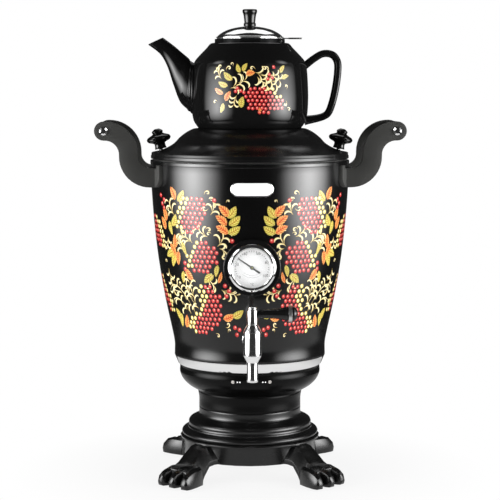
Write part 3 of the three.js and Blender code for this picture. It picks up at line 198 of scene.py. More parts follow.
class Paint(Nodes):
    """A material on the principled shader."""

    def __init__(self, name, **sockets):
        self.material = bpy.data.materials.new(name)
        self.material.use_nodes = True
        super().__init__(self.material.node_tree)
        self.shader = self.tree.nodes["Principled BSDF"]
        for key, value in sockets.items():
            self.shader.inputs[key.replace("_", " ").title().replace("Ior", "IOR")].default_value = value

    def mixed(self, share, low, high):
        """A colour between low and high."""
        values = {"Factor": share, 6: low, 7: high}
        return self.node("ShaderNodeMix", values, output=2, data_type="RGBA")

    def place(self):
        """The place on the piece, in metres."""
        return self.node("ShaderNodeTexCoord", output=3)

    def noise(self, scale, detail=3.0, stretch=(1, 1, 1)):
        where = self.node("ShaderNodeMapping", {"Vector": self.place(), "Scale": stretch})
        return self.node("ShaderNodeTexNoise", {"Vector": where, "Scale": scale, "Detail": detail})

    def flat(self):
        """The two directions of the piece's own map."""
        return self.parts(self.node("ShaderNodeUVMap", uv_map="laid"))[:2]

    def colour(self, signal):
        self.set(self.shader, {"Base Color": signal})

    def roughness(self, signal):
        self.set(self.shader, {"Roughness": signal})

    def bump(self, height, depth, strength=1.0):
        values = {"Height": height, "Distance": depth, "Strength": strength}
        self.set(self.shader, {"Normal": self.node("ShaderNodeBump", values)})


ORANGE_PEEL = 0.00002


def grey(level):
    """A neutral colour."""
    return (level, level, level)


def lacquer(name, level, rough, specular):
    """Sprayed paint: a faint orange peel, and dust that dulls it in places."""
    paint = Paint(name, roughness=rough, specular_ior_level=specular)
    cloud = paint.noise(9, 4)
    paint.colour(paint.mixed(cloud, grey(level * 0.7), grey(level * 1.3)))
    paint.roughness(paint.between(cloud, 0.3, 0.7) * (rough * 0.18) + rough * 0.9)
    paint.bump(paint.noise(700, 2), ORANGE_PEEL, 0.35)
    return paint.material


def moulded(name, level, rough, specular, grain=0.00006, scale=1500):
    """Black plastic with a fine spark-eroded grain, a little paler where hands rub it."""
    paint = Paint(name, roughness=rough, specular_ior_level=specular)
    rubbed = paint.between(paint.noise(35, 4), 0.45, 0.7)
    warm = (level, level, level * 0.94)
    paint.colour(paint.mixed(rubbed, warm, tuple(part * 1.25 for part in warm)))
    paint.roughness(rubbed * -0.06 + rough)
    paint.bump(paint.noise(scale, 3), grain, 0.5)
    return paint.material


def glazed(name):
    """Black glaze over fine stoneware: very smooth, with a slow waver and a few pinholes."""
    paint = Paint(name, roughness=0.03, specular_ior_level=0.24)
    cloud = paint.noise(14, 3)
    paint.colour(paint.mixed(cloud, grey(0.002), grey(0.006)))
    paint.roughness(paint.between(cloud, 0.4, 0.8) * 0.03 + 0.025)
    pits = paint.node("ShaderNodeTexVoronoi", {"Vector": paint.place(), "Scale": 90})
    pinholes = 1 - paint.between(pits, 0.02, 0.05)
    paint.bump(paint.noise(30, 2) - pinholes * 0.3, 0.00012, 0.25)
    return paint.material


def plated(name, level, rough, tint=1.0, lines=0.0, along=(1, 1, 1)):
    """Bright metal: hairlines along the turning and a breath of haze."""
    paint = Paint(name, metallic=1.0, roughness=rough)
    haze = paint.noise(24, 4)
    bright = Vector((level, level, level * tint))
    paint.colour(paint.mixed(haze, tuple(bright * 0.93), tuple(bright)))
    hair = paint.noise(320, 4, stretch=along)
    paint.roughness(paint.between(haze, 0.35, 0.75) * (rough * 0.5) + hair * lines + rough * 0.7)
    if lines:
        paint.bump(hair, 0.00002, 0.4)
    return paint.material


def speckled(name, rough, grain, low, high, depth=0.0, strength=0.5, specular=0.5):
    """A plain stuff with a fine speckle in its colour and, with a depth, in its skin."""
    paint = Paint(name, roughness=rough, specular_ior_level=specular)
    speck = paint.noise(*grain)
    paint.colour(paint.mixed(speck, low, high))
    if depth:
        paint.bump(speck, depth, strength)
    return paint.material


def printed_white(name, level):
    """White ink or enamel on a flat face."""
    paint = Paint(name, roughness=0.35)
    cloud = paint.noise(60, 3)
    paint.colour(paint.mixed(cloud, grey(level * 0.96), grey(level)))
    paint.bump(paint.noise(900, 2), 0.00001, 0.3)
    return paint.material


def window_glass(name):
    """A thin pane that lets the dial show plainly."""
    paint = Paint(name, roughness=0.02)
    paint.colour(paint.mixed(paint.noise(12, 2), (0.9, 0.92, 0.92), (1, 1, 1)))
    paint.set(paint.shader, {"Alpha": paint.noise(9, 2) * 0.03 + 0.03})
    return paint.material


def berry_paint(name, dark, light, painted_highlight):
    """A dabbed berry: painted shade darkens it towards its rim, and a painted highlight sits up on one side.
    """
    paint = Paint(name, roughness=0.24, specular_ior_level=0.5)
    across, up = paint.flat()
    rim = ((across - 0.5) ** 2 + (up - 0.5) ** 2) ** 0.5
    # The pale touch is a painted highlight, a spot up on one side of the berry.
    highlight_distance = ((across - 0.4) ** 2 + (up - 0.62) ** 2) ** 0.5
    # Painted shade: the berry grows darker towards its rim.
    body = paint.mixed(paint.between(rim, 0.2, 0.5), light, dark)
    paint.colour(paint.mixed(1 - paint.between(highlight_distance, 0.06, 0.22), body, painted_highlight))
    paint.bump(1 - paint.between(rim, 0.3, 0.5), 0.00005, 0.3)
    return paint.material


LEAF_VEINS = 6
LEAF_SLANT = 0.24


def leaf_paint(name, heart, edge, vein):
    """A leaf stroked from its midrib, with slanting veins and a second colour at the edge."""
    paint = Paint(name, roughness=0.26)
    along, across = paint.flat()
    side = paint.maths("ABSOLUTE", across - 0.5) * 2
    body = paint.mixed(paint.between(side + paint.noise(300, 2) * 0.3, 0.45, 1.0), heart, edge)
    stripe = paint.maths("FRACT", (along - side * LEAF_SLANT) * LEAF_VEINS)
    veins = 1 - paint.between(stripe, 0.34, 0.5)
    rib = 1 - paint.between(side, 0.07, 0.18)
    marks = paint.maths("MAXIMUM", veins * paint.between(side, 0.02, 0.2), rib)
    paint.colour(paint.mixed(marks, body, vein))
    return paint.material


def scroll_paint(name, pale, deep):
    """A loaded brush stroke: pale in the belly and deeper at the root and along one edge."""
    paint = Paint(name, roughness=0.26)
    along, across = paint.flat()
    loaded = paint.between(along, 0.05, 0.5) * paint.between(across, 0.0, 0.45)
    streaks = paint.noise(500, 2)
    paint.colour(paint.mixed(loaded * (streaks * 0.4 + 0.8), deep, pale))
    return paint.material


FINISH = {
    "enamel_black": lacquer("enamel", 0.002, 0.2, 0.5),
    "satin_black": lacquer("satin_paint", 0.003, 0.26, 0.42),
    "deep_black": lacquer("bowl_paint", 0.002, 0.24, 0.1),
    "matte_black": moulded("matte_plastic", 0.03, 0.5, 0.25),
    "gloss_black": moulded("gloss_plastic", 0.004, 0.14, 0.35, grain=0.00001, scale=900),
    "glaze_black": glazed("black_glaze"),
    "chrome": plated("chrome", 0.9, 0.05),
    "soft_chrome": plated("soft_chrome", 0.92, 0.13),
    "steel": plated("stainless", 0.62, 0.26, tint=0.985, lines=0.12, along=(1, 1, 14)),
    "mirror_steel": plated("polished_steel", 0.72, 0.09, tint=0.99),
    "brass": plated("brass", 0.55, 0.3, tint=0.4, lines=0.08),
    "rubber": speckled("rubber", 0.8, (600, 3), grey(0.024), grey(0.03), 0.00008, 0.5, 0.3),
    "silicone": speckled("silicone", 0.6, (600, 3), (0.02, 0.02, 0.0192), (0.025, 0.025, 0.024), 0.00008,
                         0.5, 0.3),
    "dial_white": printed_white("dial_enamel", 0.95),
    "clear_glass": window_glass("dial_glass"),
    "plate_silver": printed_white("plate_face", 0.92),
    "lamp_lens": speckled("lamp_glass", 0.3, (500, 2), (0.2, 0.19, 0.18), (0.5, 0.48, 0.45), 0.00005, 0.4),
    "ink": speckled("dial_ink", 0.4, (800, 2), grey(0.01), grey(0.03)),
    # Berry finishes: the colour of the painted shade at the rim, the middle, and the painted highlight.
    "berry_red": berry_paint("berry_red", (0.34, 0.012, 0.016), (0.58, 0.045, 0.04), (0.9, 0.5, 0.4)),
    "berry_yellow": berry_paint("berry_yellow", (0.6, 0.42, 0.1), (0.8, 0.68, 0.26), (0.95, 0.9, 0.7)),
    "leaf_yellow": leaf_paint("leaf_yellow", (0.74, 0.66, 0.16), (0.5, 0.52, 0.1), (0.3, 0.14, 0.01)),
    "leaf_orange": leaf_paint("leaf_orange", (0.8, 0.34, 0.08), (0.8, 0.5, 0.14), (0.45, 0.02, 0.01)),
    "scroll": scroll_paint("scroll_cream", (0.86, 0.76, 0.44), (0.6, 0.42, 0.12)),
}


# Making pieces


# Slots of the finishes that aren't slots of the record themselves
SLOTS = {"soft_chrome": "chrome", "mirror_steel": "steel", "deep_black": "satin_black", "ink": "matte_black"}


def finished(name, shape, body, finish, stands_for=(), slot=None):
    """Turns a bmesh into a piece that rides on a body, with smooth faces between its edges."""
    bmesh.ops.recalc_face_normals(shape, faces=shape.faces)
    settled(name, as_mesh(name, shape), body, finish, stands_for, slot)


def settled(name, mesh, body, finish, stands_for=(), slot=None, sharp=32):
    """Turns a mesh into a piece."""
    mesh.shade_smooth()
    mesh.set_sharp_from_angle(angle=math.radians(sharp))
    mesh.materials.clear()
    mesh.materials.append(FINISH[finish])
    piece = placed(name, mesh)
    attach(piece, body)
    slot or SLOTS.get(finish, finish)
    if stands_for:
        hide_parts(*stands_for)


def evaluated(thing):
    """The mesh that an object's modifiers or letters make. The object goes."""
    bpy.context.view_layer.update()
    mesh = bpy.data.meshes.new_from_object(thing.evaluated_get(bpy.context.evaluated_depsgraph_get()))
    bpy.data.objects.remove(thing)
    return mesh


def whole(shape):
    """All that a bmesh holds, for a cut."""
    return shape.verts[:] + shape.edges[:] + shape.faces[:]


def eased(shape, edges, width, segments=2, **more):
    """Rounds edges by a narrow band."""
    bmesh.ops.bevel(shape, geom=edges, offset=width, segments=segments, profile=0.5, affect="EDGES",
                    material=-1, **more)


def rank(vert):
    """Puts points in an order of their own, the lowest first."""
    return round(vert.co.z, 6), round(vert.co.y, 6), round(vert.co.x, 6)


def copied(node):
    """A CAD node's mesh with its doubled points joined."""
    shape = bmesh.new()
    shape.from_mesh(bpy.data.objects[node].data)
    bmesh.ops.remove_doubles(shape, verts=shape.verts, dist=WELD)
    return shape


def section(node, origin, axis, aside):
    """Half of a turned CAD piece's section, in order: distances from the axis and heights along it."""
    cut = copied(node)
    bmesh.ops.bisect_plane(cut, geom=whole(cut), dist=WELD, plane_co=origin, plane_no=axis.cross(aside),
                           clear_inner=True, clear_outer=True)
    beyond = [vert for vert in cut.verts if (vert.co - origin).dot(aside) < -WELD]
    bmesh.ops.delete(cut, geom=beyond, context="VERTS")
    bmesh.ops.remove_doubles(cut, verts=cut.verts, dist=WELD)
    chains = []
    waiting = set(cut.verts)
    while waiting:
        ends = [vert for vert in waiting if len(vert.link_edges) == 1]
        here = min(ends or waiting, key=rank)
        chain = [here]
        waiting.discard(here)
        while True:
            onward = [edge.other_vert(here) for edge in here.link_edges if edge.other_vert(here) in waiting]
            if not onward:
                break
            here = min(onward, key=rank)
            waiting.discard(here)
            chain.append(here)
        closed = len(chain) > 2 and not ends
        points = [Vector(((vert.co - origin).dot(aside), (vert.co - origin).dot(axis))) for vert in chain]
        chains.append((points, closed))
    cut.free()
    return max(chains, key=lambda found: len(found[0]))


def beside(points, at, closed):
    """The points before and after one of an outline's points, or None at an open end."""
    if not closed and at in (0, len(points) - 1):
        return None
    return points[at - 1], points[(at + 1) % len(points)]


def straightened(points, closed):
    """Leaves out the points that lie on a straight stretch."""
    kept = []
    for at, point in enumerate(points):
        before, after = beside(points, at, closed) or (None, None)
        if before is None or abs((point - before).cross(after - point)) > (after - before).length * WELD:
            kept.append(point)
    return kept


def is_corner(points, at, closed, corner):
    """Whether an outline ends or turns sharply at one of its points."""
    before, after = beside(points, at, closed) or (None, None)
    return before is None or abs((points[at] - before).angle_signed(after - points[at])) > corner


def flowing(points, closed, corner, ease):
    """Smooths the curved stretches of an outline and eases its corners a little."""
    points = straightened(points, closed)
    count = len(points)
    sharp = [is_corner(points, at, closed, math.radians(corner)) for at in range(count)]
    smooth = []
    for at in range(count):
        point = points[at]
        if sharp[at] and beside(points, at, closed):
            before, after = beside(points, at, closed)
            set_in = min(ease, (before - point).length / 3, (after - point).length / 3)
            start = point + (before - point).normalized() * set_in
            end = point + (after - point).normalized() * set_in
            smooth += [start, start.lerp(end, 0.5).lerp(point, 0.5), end]
        else:
            smooth.append(point)
        if not closed and at == count - 1:
            break
        following = (at + 1) % count
        if sharp[at] and sharp[following]:
            continue
        here, there = points[at], points[following]
        back = here * 2 - there if sharp[at] else points[at - 1]
        ahead = there * 2 - here if sharp[following] else points[(at + 2) % count]
        for cut in range(1, CURVE_CUTS):
            smooth.append(curve_point(back, here, there, ahead, cut / CURVE_CUTS))
    return smooth


def curve_point(back, here, there, ahead, share):
    """A point of the curve that runs through here and there."""
    lead = (there - back) * 0.5
    follow = (ahead - here) * 0.5
    span = (there - here).length
    lead = lead.normalized() * min(lead.length, span)
    follow = follow.normalized() * min(follow.length, span)
    square, cube = share ** 2, share ** 3
    return (here * (2 * cube - 3 * square + 1) + lead * (cube - 2 * square + share)
            + there * (3 * square - 2 * cube) + follow * (cube - square))


def spun(outline, closed, origin, axis, aside, steps=ROUND_STEPS):
    """Turns an outline about an axis."""
    shape = bmesh.new()
    verts = [shape.verts.new(origin + aside * reach + axis * height) for reach, height in outline]
    edges = [shape.edges.new(pair) for pair in zip(verts, verts[1:])]
    if closed:
        edges.append(shape.edges.new((verts[-1], verts[0])))
    bmesh.ops.spin(shape, geom=verts + edges, cent=origin, axis=axis, dvec=(0, 0, 0), angle=math.tau,
                   steps=steps, use_merge=True, use_duplicate=False)
    bmesh.ops.remove_doubles(shape, verts=shape.verts, dist=WELD)
    return shape


def turned_outline(node, origin, axis, aside, corner=CORNER, ease=EASE):
    """The smoothed outline of a turned CAD piece."""
    points, closed = section(node, origin, axis, aside)
    if not closed:
        for at in (0, -1):
            if points[at].x > WELD:
                points.insert(0 if at == 0 else len(points), Vector((0, points[at].y)))
            else:
                points[at].x = 0
    return flowing(points, closed, corner, ease), closed


def turned_like(node, axis=UP, aside=BACK, origin=None, steps=ROUND_STEPS, corner=CORNER, ease=EASE):
    """A finely turned copy of a turned CAD piece."""
    origin = origin or middle(node)
    outline, closed = turned_outline(node, origin, axis, aside, corner, ease)
    return spun(outline, closed, origin, axis, aside, steps)


# Turned and cast pieces

STAND = "stand"
LID = "samovar_lid"
POT = "teapot_body"
POT_LID = "teapot_lid"
TAP = "tap_valve"
GAUGE = middle("gauge_bezel")
TAP_AXIS = Vector((0, middle("tap_plug").y, 0))
LEVER_AXIS = Vector((0, TAP_AXIS.y, middle("lever_ring").z))
ON_STAND = {"origin": AXIS}
ON_DIAL = {"axis": BACK, "aside": UP, "origin": GAUGE}
ON_TAP = {"origin": TAP_AXIS, "steps": SMALL_STEPS}
ON_LEVER = {"axis": RIGHT, "aside": FRONT, "origin": LEVER_AXIS, "steps": SMALL_STEPS}
CAST_BEND = math.radians(28)
CAST_ROUND = 0.0005
CAST_SHARP = 24
FLAT_BEND = math.radians(0.5)
BUTTON_SPREAD = 1.12
KNOB_TILT = math.radians(12)


def turned_piece(name, node, body, finish, slot=None, **form):
    """A finely turned copy in place of a turned CAD piece."""
    finished(name, turned_like(node, **form), body, finish, (node,), slot)


def cast_piece(name, node, finish):
    """A copy of a cast or moulded piece with its sharp edges broken by a narrow round."""
    shape = copied(node)
    bmesh.ops.dissolve_limit(shape, angle_limit=FLAT_BEND, verts=shape.verts, edges=shape.edges)
    sharp = [edge for edge in shape.edges if edge.is_manifold and edge.calc_face_angle() > CAST_BEND]
    eased(shape, sharp, CAST_ROUND, clamp_overlap=True)
    bmesh.ops.triangulate(shape, faces=shape.faces)
    settled(name, as_mesh(name, shape), STAND, finish, (node,), sharp=CAST_SHARP)


def make_lid_button():
    """The knob of the steel lid."""
    button = turned_like("pot_lid_knob", corner=40, steps=SMALL_STEPS)
    bmesh.ops.scale(button, verts=button.verts, vec=(BUTTON_SPREAD, BUTTON_SPREAD, 1),
                    space=Matrix.Translation(-middle("pot_lid_knob")))
    finished("lid_button", button, POT_LID, "gloss_black", ("pot_lid_knob",))


# The shank's flange: radius and distance before the gasket
SHANK_FLANGE = [(0.006, 0.0034), (0.0064, 0.003), (0.0086, 0.0026), (0.009, 0.0022), (0.009, 0), (0.006, 0)]
SHANK_RADIUS = 0.006
SHANK_START = 0.0066
SHANK_BORE = 0.0028
SHANK_BORE_END = 0.02
SHANK_GAP = 0.0003


def make_tap_shank():
    """The shank that carries the tap, bored from its inner end, with its flange against the gasket."""
    reach = corners("tap_body")[1].y - TAP_AXIS.y
    seat = corners("tap_gasket")[0].y - TAP_AXIS.y - SHANK_GAP
    outline = [(0, SHANK_START), (SHANK_RADIUS, SHANK_START)]
    outline += [(radius, seat - back) for radius, back in SHANK_FLANGE]
    outline += [(SHANK_RADIUS, reach), (SHANK_BORE, reach)]
    outline += [(SHANK_BORE, SHANK_BORE_END), (0, SHANK_BORE_END)]
    centre = Vector((0, TAP_AXIS.y, middle("tap_nut").z))
    finished("tap_shank", spun(outline, False, centre, BACK, RIGHT, SMALL_STEPS), STAND, "chrome")


def make_pairs():
    """Lid knobs, handle arms and grips, one of each to each side."""
    for side, place in ((-1, "left"), (1, "right")):
        tilt = KNOB_TILT * side
        node = f"lid_knob_{place}"
        mesh = bpy.data.objects[node].data
        heart = sum((vert.co for vert in mesh.vertices), Vector()) / len(mesh.vertices)
        turned_piece(f"turned_knob_{place}", node, LID, "gloss_black", corner=75, aside=FRONT, origin=heart,
                     axis=Vector((math.sin(tilt), 0, math.cos(tilt))), steps=SMALL_STEPS)
        cast_piece(f"handle_arms_{place}", f"handle_{place}", "matte_black")
        node = f"grip_{place}"
        turned_piece(f"grip_bar_{place}", node, STAND, "gloss_black", axis=BACK, aside=UP,
                     origin=middle(node), steps=SMALL_STEPS)


body_outline = turned_outline("body_shell", AXIS, UP, BACK)
pot_outline = turned_outline("teapot", AXIS, UP, BACK, corner=50)
finished("body_enamel", spun(*body_outline, AXIS, UP, BACK), STAND, "enamel_black", ("body_shell",))
turned_piece("polished_band", "chrome_band", STAND, "chrome", ease=0.0006, **ON_STAND)
turned_piece("pedestal_rings", "pedestal", STAND, "satin_black", corner=60, **ON_STAND)
turned_piece("lid_dome", "lid", LID, "satin_black", aside=FRONT, **ON_STAND)
turned_piece("steel_lid", "pot_lid", POT_LID, "mirror_steel")
make_lid_button()
turned_piece("dial_housing", "gauge_housing", STAND, "satin_black", axis=BACK, aside=RIGHT, origin=GAUGE)
turned_piece("dial_bezel", "gauge_bezel", STAND, "chrome", **ON_DIAL)
turned_piece("dial_window", "gauge_glass", STAND, "clear_glass", **ON_DIAL)
turned_piece("tap_barrel", "tap_body", STAND, "soft_chrome", aside=RIGHT, **ON_TAP)
make_tap_shank()
turned_piece("tap_collar", "tap_bonnet", STAND, "soft_chrome", **ON_TAP)
turned_piece("tap_spindle", "tap_plug", TAP, "soft_chrome", **ON_TAP)
turned_piece("tap_button", "tap_cap", TAP, "soft_chrome", **ON_TAP)
turned_piece("lever_grip", "tap_lever", TAP, "satin_black", "matte_black", corner=40, **ON_LEVER)
turned_piece("lever_band", "lever_ring", TAP, "steel", "chrome", **ON_LEVER)
cast_piece("paw_casting", "paw_base", "satin_black")
make_pairs()


def solid(shape):
    """An object for a boolean cut."""
    bmesh.ops.recalc_face_normals(shape, faces=shape.faces)
    return placed("part", as_mesh("part", shape))


def block(low, high):
    """A box between two corners."""
    shape = bmesh.new()
    bmesh.ops.create_cube(shape, size=1)
    bmesh.ops.scale(shape, verts=shape.verts, vec=high - low)
    bmesh.ops.translate(shape, verts=shape.verts, vec=(low + high) / 2)
    return shape


PANEL_GAP = Vector((0.0003, 0.02, 0.0003))


def make_bowl():
    """The bowl with the window of its rear panel cut out."""
    low, high = corners("rear_panel")
    bowl = solid(turned_like("bowl", aside=RIGHT, origin=AXIS))
    window = solid(block(low - PANEL_GAP, high + PANEL_GAP))
    bowl.modifiers.new("cut", "BOOLEAN").object = window
    settled("lower_bowl", evaluated(bowl), STAND, "deep_black", ("bowl",))
    bpy.data.objects.remove(window)


make_bowl()

# Teapot: turned body, drawn spout and ear


def through(table, at):
    """A place on the smooth curve through a table's rows."""
    last = len(table) - 1
    row = min(int(at), last - 1)
    rows = [Vector(table[min(max(index, 0), last)]) for index in range(row - 1, row + 3)]
    return curve_point(*rows, at - row)


def drawn(rings):
    """Skins a run of rings: a grid rolled into a tube, with its ends filled."""
    shape = bmesh.new()
    rows, sides = len(rings) - 1, len(rings[0])
    for vert in bmesh.ops.create_grid(shape, x_segments=rows, y_segments=sides, size=0.5)["verts"]:
        row, side = round((vert.co.x + 0.5) * rows), round((vert.co.y + 0.5) * sides)
        vert.co = rings[row][side % sides]
    bmesh.ops.remove_doubles(shape, verts=shape.verts, dist=WELD)
    bmesh.ops.holes_fill(shape, edges=[line for line in shape.edges if line.is_boundary], sides=0)
    return shape


SPOUT_REACH = 100.4 * MM
SPOUT_HALF_WIDTH = 15 * MM
SPOUT_WALL = 2.2 * MM
SPOUT_SHARES = [
    [0.488, 0.151, 0.488, 0.659, 1], [0.587, 0.2, 0.568, 0.734, 1], [0.685, 0.299, 0.598, 0.783, 0.87],
    [0.754, 0.499, 0.632, 0.817, 0.67], [0.813, 0.7, 0.685, 0.867, 0.52], [0.881, 0.833, 0.754, 0.933, 0.45],
    [1, 0.938, 0.853, 1.016, 0.43],
]
SPOUT_COLLAR = [[0.5, 1.7], [0.8, 1.7], [0.92, 1.5], [1, 0.7], [1.06, 0.75], [1.13, 1.15], [1.22, 0.95],
                [1.34, 0], [7, 0]]
SPOUT_SIDES = 32
SPOUT_ROOT = 0.5
SPOUT_TIP = 6
COLLAR_SPAN = 0.9
COLLAR_ROWS = 20
NECK_ROWS = 36
# Past the tip: how far along, and how far inwards in millimetres
LIP_ROWS = [(-0.03, 0), (0, 0.3), (0.015, 0.9), (0.01, 1.6), (-0.03, 2.2)]
BORE_START = 5.9
BORE_ROWS = 12
POT_HEIGHT = 88.6 * MM
POT_FOOT = corners("teapot")[0].z


def between_rows(table, at):
    """A value on the straight line between a table's rows."""
    for (start, low), (end, high) in zip(table, table[1:]):
        if at <= end:
            return low + (high - low) * (at - start) / (end - start)
    return table[-1][1]


def spout_ring(at, inset):
    """An oval section of the spout, inset from its outside."""
    out_x, out_z, in_x, in_z, width = through(SPOUT_SHARES, at)
    outer = Vector((-out_x * SPOUT_REACH, 0, POT_FOOT + out_z * POT_HEIGHT))
    inner = Vector((-in_x * SPOUT_REACH, 0, POT_FOOT + in_z * POT_HEIGHT))
    centre = (outer + inner) / 2 + AXIS
    arm = (inner - outer) / 2
    arm = arm.normalized() * (arm.length - inset)
    side = width * SPOUT_HALF_WIDTH - inset
    turns = [step * math.tau / SPOUT_SIDES for step in range(SPOUT_SIDES)]
    return [centre + arm * math.cos(turn) + BACK * side * math.sin(turn) for turn in turns]


def make_spout():
    """The spout: a double collar at its root, a rounded lip and a bore."""
    rings = []
    for row in range(COLLAR_ROWS):
        at = SPOUT_ROOT + row / COLLAR_ROWS * COLLAR_SPAN
        rings.append(spout_ring(at, -between_rows(SPOUT_COLLAR, at) * MM))
    neck = SPOUT_ROOT + COLLAR_SPAN
    rings += [spout_ring(neck + row / NECK_ROWS * (SPOUT_TIP - neck), 0) for row in range(NECK_ROWS)]
    rings += [spout_ring(SPOUT_TIP + past, inset * MM) for past, inset in LIP_ROWS]
    rings += [spout_ring(BORE_START - row / 5, SPOUT_WALL) for row in range(BORE_ROWS)]
    finished("glazed_spout", drawn(rings), POT, "glaze_black")


EAR_REACH = 90.5 * MM
EAR_SHARES = [[0.57, 0.69], [0.608, 0.711], [0.694, 0.78], [0.798, 0.839], [0.902, 0.827], [0.958, 0.749],
              [0.962, 0.628], [0.939, 0.449], [0.9, 0.28], [0.852, 0.17], [0.76, 0.124], [0.6, 0.095]]
EAR_HALF_THICKNESS = 3.7 * MM
EAR_HALF_WIDTH = 5.5 * MM
EAR_ROWS = 90
EAR_SIDES = 24
EAR_HEART = AXIS + UP * (POT_FOOT + POT_HEIGHT / 2) + RIGHT * 0.07
FLARE_SPAN = 0.12
FLARE = 0.35
GROOVE_DEPTH = 0.16
GROOVE_WIDTH = 0.35


def make_ear():
    """The ear: a flattened strap with a groove along its outer side, flared where it joins the pot."""
    last = len(EAR_SHARES) - 1
    path = []
    for row in range(EAR_ROWS + 1):
        reach, height = through(EAR_SHARES, row / EAR_ROWS * last)
        path.append(AXIS + RIGHT * reach * EAR_REACH + UP * (POT_FOOT + height * POT_HEIGHT))
    rings = []
    for row, centre in enumerate(path):
        along = (path[min(row + 1, EAR_ROWS)] - path[max(row - 1, 0)]).normalized()
        out = along.cross(BACK).normalized()
        if out.dot(centre - EAR_HEART) < 0:
            out.negate()
        share = row / EAR_ROWS
        flare = 1 + FLARE * max(0, 1 - min(share, 1 - share) / FLARE_SPAN) ** 2
        ring = []
        for step in range(EAR_SIDES):
            turn = step * math.tau / EAR_SIDES
            up, side = math.cos(turn), math.sin(turn)
            square = (abs(up) ** 3 + abs(side) ** 3) ** (-1 / 3)
            groove = GROOVE_DEPTH * math.exp(-(side / GROOVE_WIDTH) ** 2) if up > 0 else 0
            ring.append(centre + out * (up * square - groove) * EAR_HALF_THICKNESS * flare
                        + BACK * side * square * EAR_HALF_WIDTH * flare)
        rings.append(ring)
    finished("glazed_ear", drawn(rings), POT, "glaze_black")


TAB_START = 0.038
TAB_HALF_WIDTH = 0.0045
TAB_UNDER = 0.0011
TAB_OVER = 0.0003
TAB_ROUND = 0.0003


def make_basket_tab():
    """The tab by which the infuser basket is lifted."""
    end = corners("infuser")[1]
    tab = block(Vector((TAB_START, AXIS.y - TAB_HALF_WIDTH, end.z - TAB_UNDER)),
                Vector((end.x, AXIS.y + TAB_HALF_WIDTH, end.z + TAB_OVER)))
    eased(tab, tab.edges[:], TAB_ROUND)
    finished("basket_tab", tab, "infuser_basket", "steel")


make_basket_tab()
finished("glazed_pot", spun(*pot_outline, AXIS, UP, BACK), POT, "glaze_black", ("teapot",))
make_spout()
make_ear()


# Things laid on round surfaces

BODY_GIRTH = 0.096
POT_GIRTH = 0.0579


class Skin:
    """The outside of a turned piece: it lays flat drawings, in metres round and up, on it."""

    STEP = 0.00025

    def __init__(self, outline, girth_radius):
        points = outline[0]
        self.low = min(point.y for point in points)
        count = int((max(point.y for point in points) - self.low) / self.STEP) + 2
        self.radii = [0.0] * count
        for start, end in zip(points, points[1:] + points[:1]):
            low, high = sorted((start.y, end.y))
            for at in range(int((low - self.low) / self.STEP), int((high - self.low) / self.STEP) + 2):
                height = self.low + at * self.STEP
                share = 0.5 if high == low else min(max((height - start.y) / (end.y - start.y), 0), 1)
                if at < count:
                    self.radii[at] = max(self.radii[at], start.x + (end.x - start.x) * share)
        self.girth = girth_radius

    def radius(self, height):
        """The outside at a height."""
        return self.radii[min(max(round((height - self.low) / self.STEP), 0), len(self.radii) - 1)]

    def spot(self, round_way, height, lift):
        """The place of a drawn point, lifted off the skin."""
        turn = round_way / self.girth
        reach = self.radius(height) + lift
        return AXIS + Vector((math.sin(turn) * reach, -math.cos(turn) * reach, height))


PLATE_GIRTH = 0.0963
PLATE_SHARE = 0.94
PLATE_THICKNESS = 0.0008
PLATE_CORNER = 0.0065
PLATE_ROUND = 0.0002
PLATE_CUTS = 10
PLATE_PITCH = 0.002
# Inset from the plate's edge, lift off the body and finish
PLATE_PARTS = {"plate_frame": (0, 0.0003, "chrome"), "plate_field": (0.0009, 0.00045, "plate_silver")}


def make_plate():
    """The oblong plate: a bright frame round a plain pale field, bent to the body."""
    low, high = corners("nameplate")
    centre = (low.z + high.z) / 2
    skin = Skin(body_outline, PLATE_GIRTH)
    size = Vector(((high.x - low.x) * PLATE_SHARE, PLATE_THICKNESS, high.z - low.z))
    for name, (inset, lift, finish) in PLATE_PARTS.items():
        rim = Vector((inset, 0, inset))
        shape = block(rim - size / 2, size / 2 - rim)
        ends = [edge for edge in shape.edges if abs(edge.verts[0].co.y - edge.verts[1].co.y) > size.y / 2]
        eased(shape, ends, PLATE_CORNER - inset, 10)
        front = [edge for edge in shape.edges if max(vert.co.y for vert in edge.verts) < 0]
        eased(shape, front, PLATE_ROUND)
        for cut in range(-PLATE_CUTS, PLATE_CUTS + 1):
            bmesh.ops.bisect_plane(shape, geom=whole(shape), dist=WELD, plane_co=RIGHT * cut * PLATE_PITCH,
                                   plane_no=RIGHT)
        for vert in shape.verts:
            vert.co = skin.spot(vert.co.x, centre + vert.co.z, lift - vert.co.y)
        finished(name, shape, STAND, finish, () if inset else ("nameplate",), "plate_silver")


make_plate()

LAMP_SPREAD = 0.0176
DOT_SPREAD = 0.0108
DOT_PITCH = 0.0024
DOT_SIZE = (0.0012, 0.0012, 0.0001, 1)
BOWL_GIRTH = 0.068


def make_lamps():
    """The round lenses low on the bowl, each with two small printed dots beside it."""
    skin = Skin(turned_outline("bowl", AXIS, UP, RIGHT), BOWL_GIRTH)
    height = middle("lamp_left").z
    dots = bmesh.new()
    for side, place in ((-1, "left"), (1, "right")):
        seat = skin.spot(side * LAMP_SPREAD, height, -0.0011)
        out = ((seat - AXIS) * Vector((1, 1, 0))).normalized().to_track_quat("Z", "Y").to_matrix().to_4x4()
        lens = bmesh.new()
        bmesh.ops.create_cone(lens, cap_ends=True, segments=32, radius1=0.0019, radius2=0.0016, depth=0.003,
                              matrix=Matrix.Translation(seat) @ out)
        finished(f"lamp_lens_{place}", lens, STAND, "lamp_lens", (f"lamp_{place}",))
        for step in (0, 1):
            spot = skin.spot(side * (DOT_SPREAD + step * DOT_PITCH), height, 0.0001)
            bmesh.ops.create_cube(dots, size=1, matrix=Matrix.Translation(spot) @ out
                                  @ Matrix.Diagonal(DOT_SIZE))
    finished("lamp_dots", dots, STAND, "plate_silver")


make_lamps()

# Printing on the dial

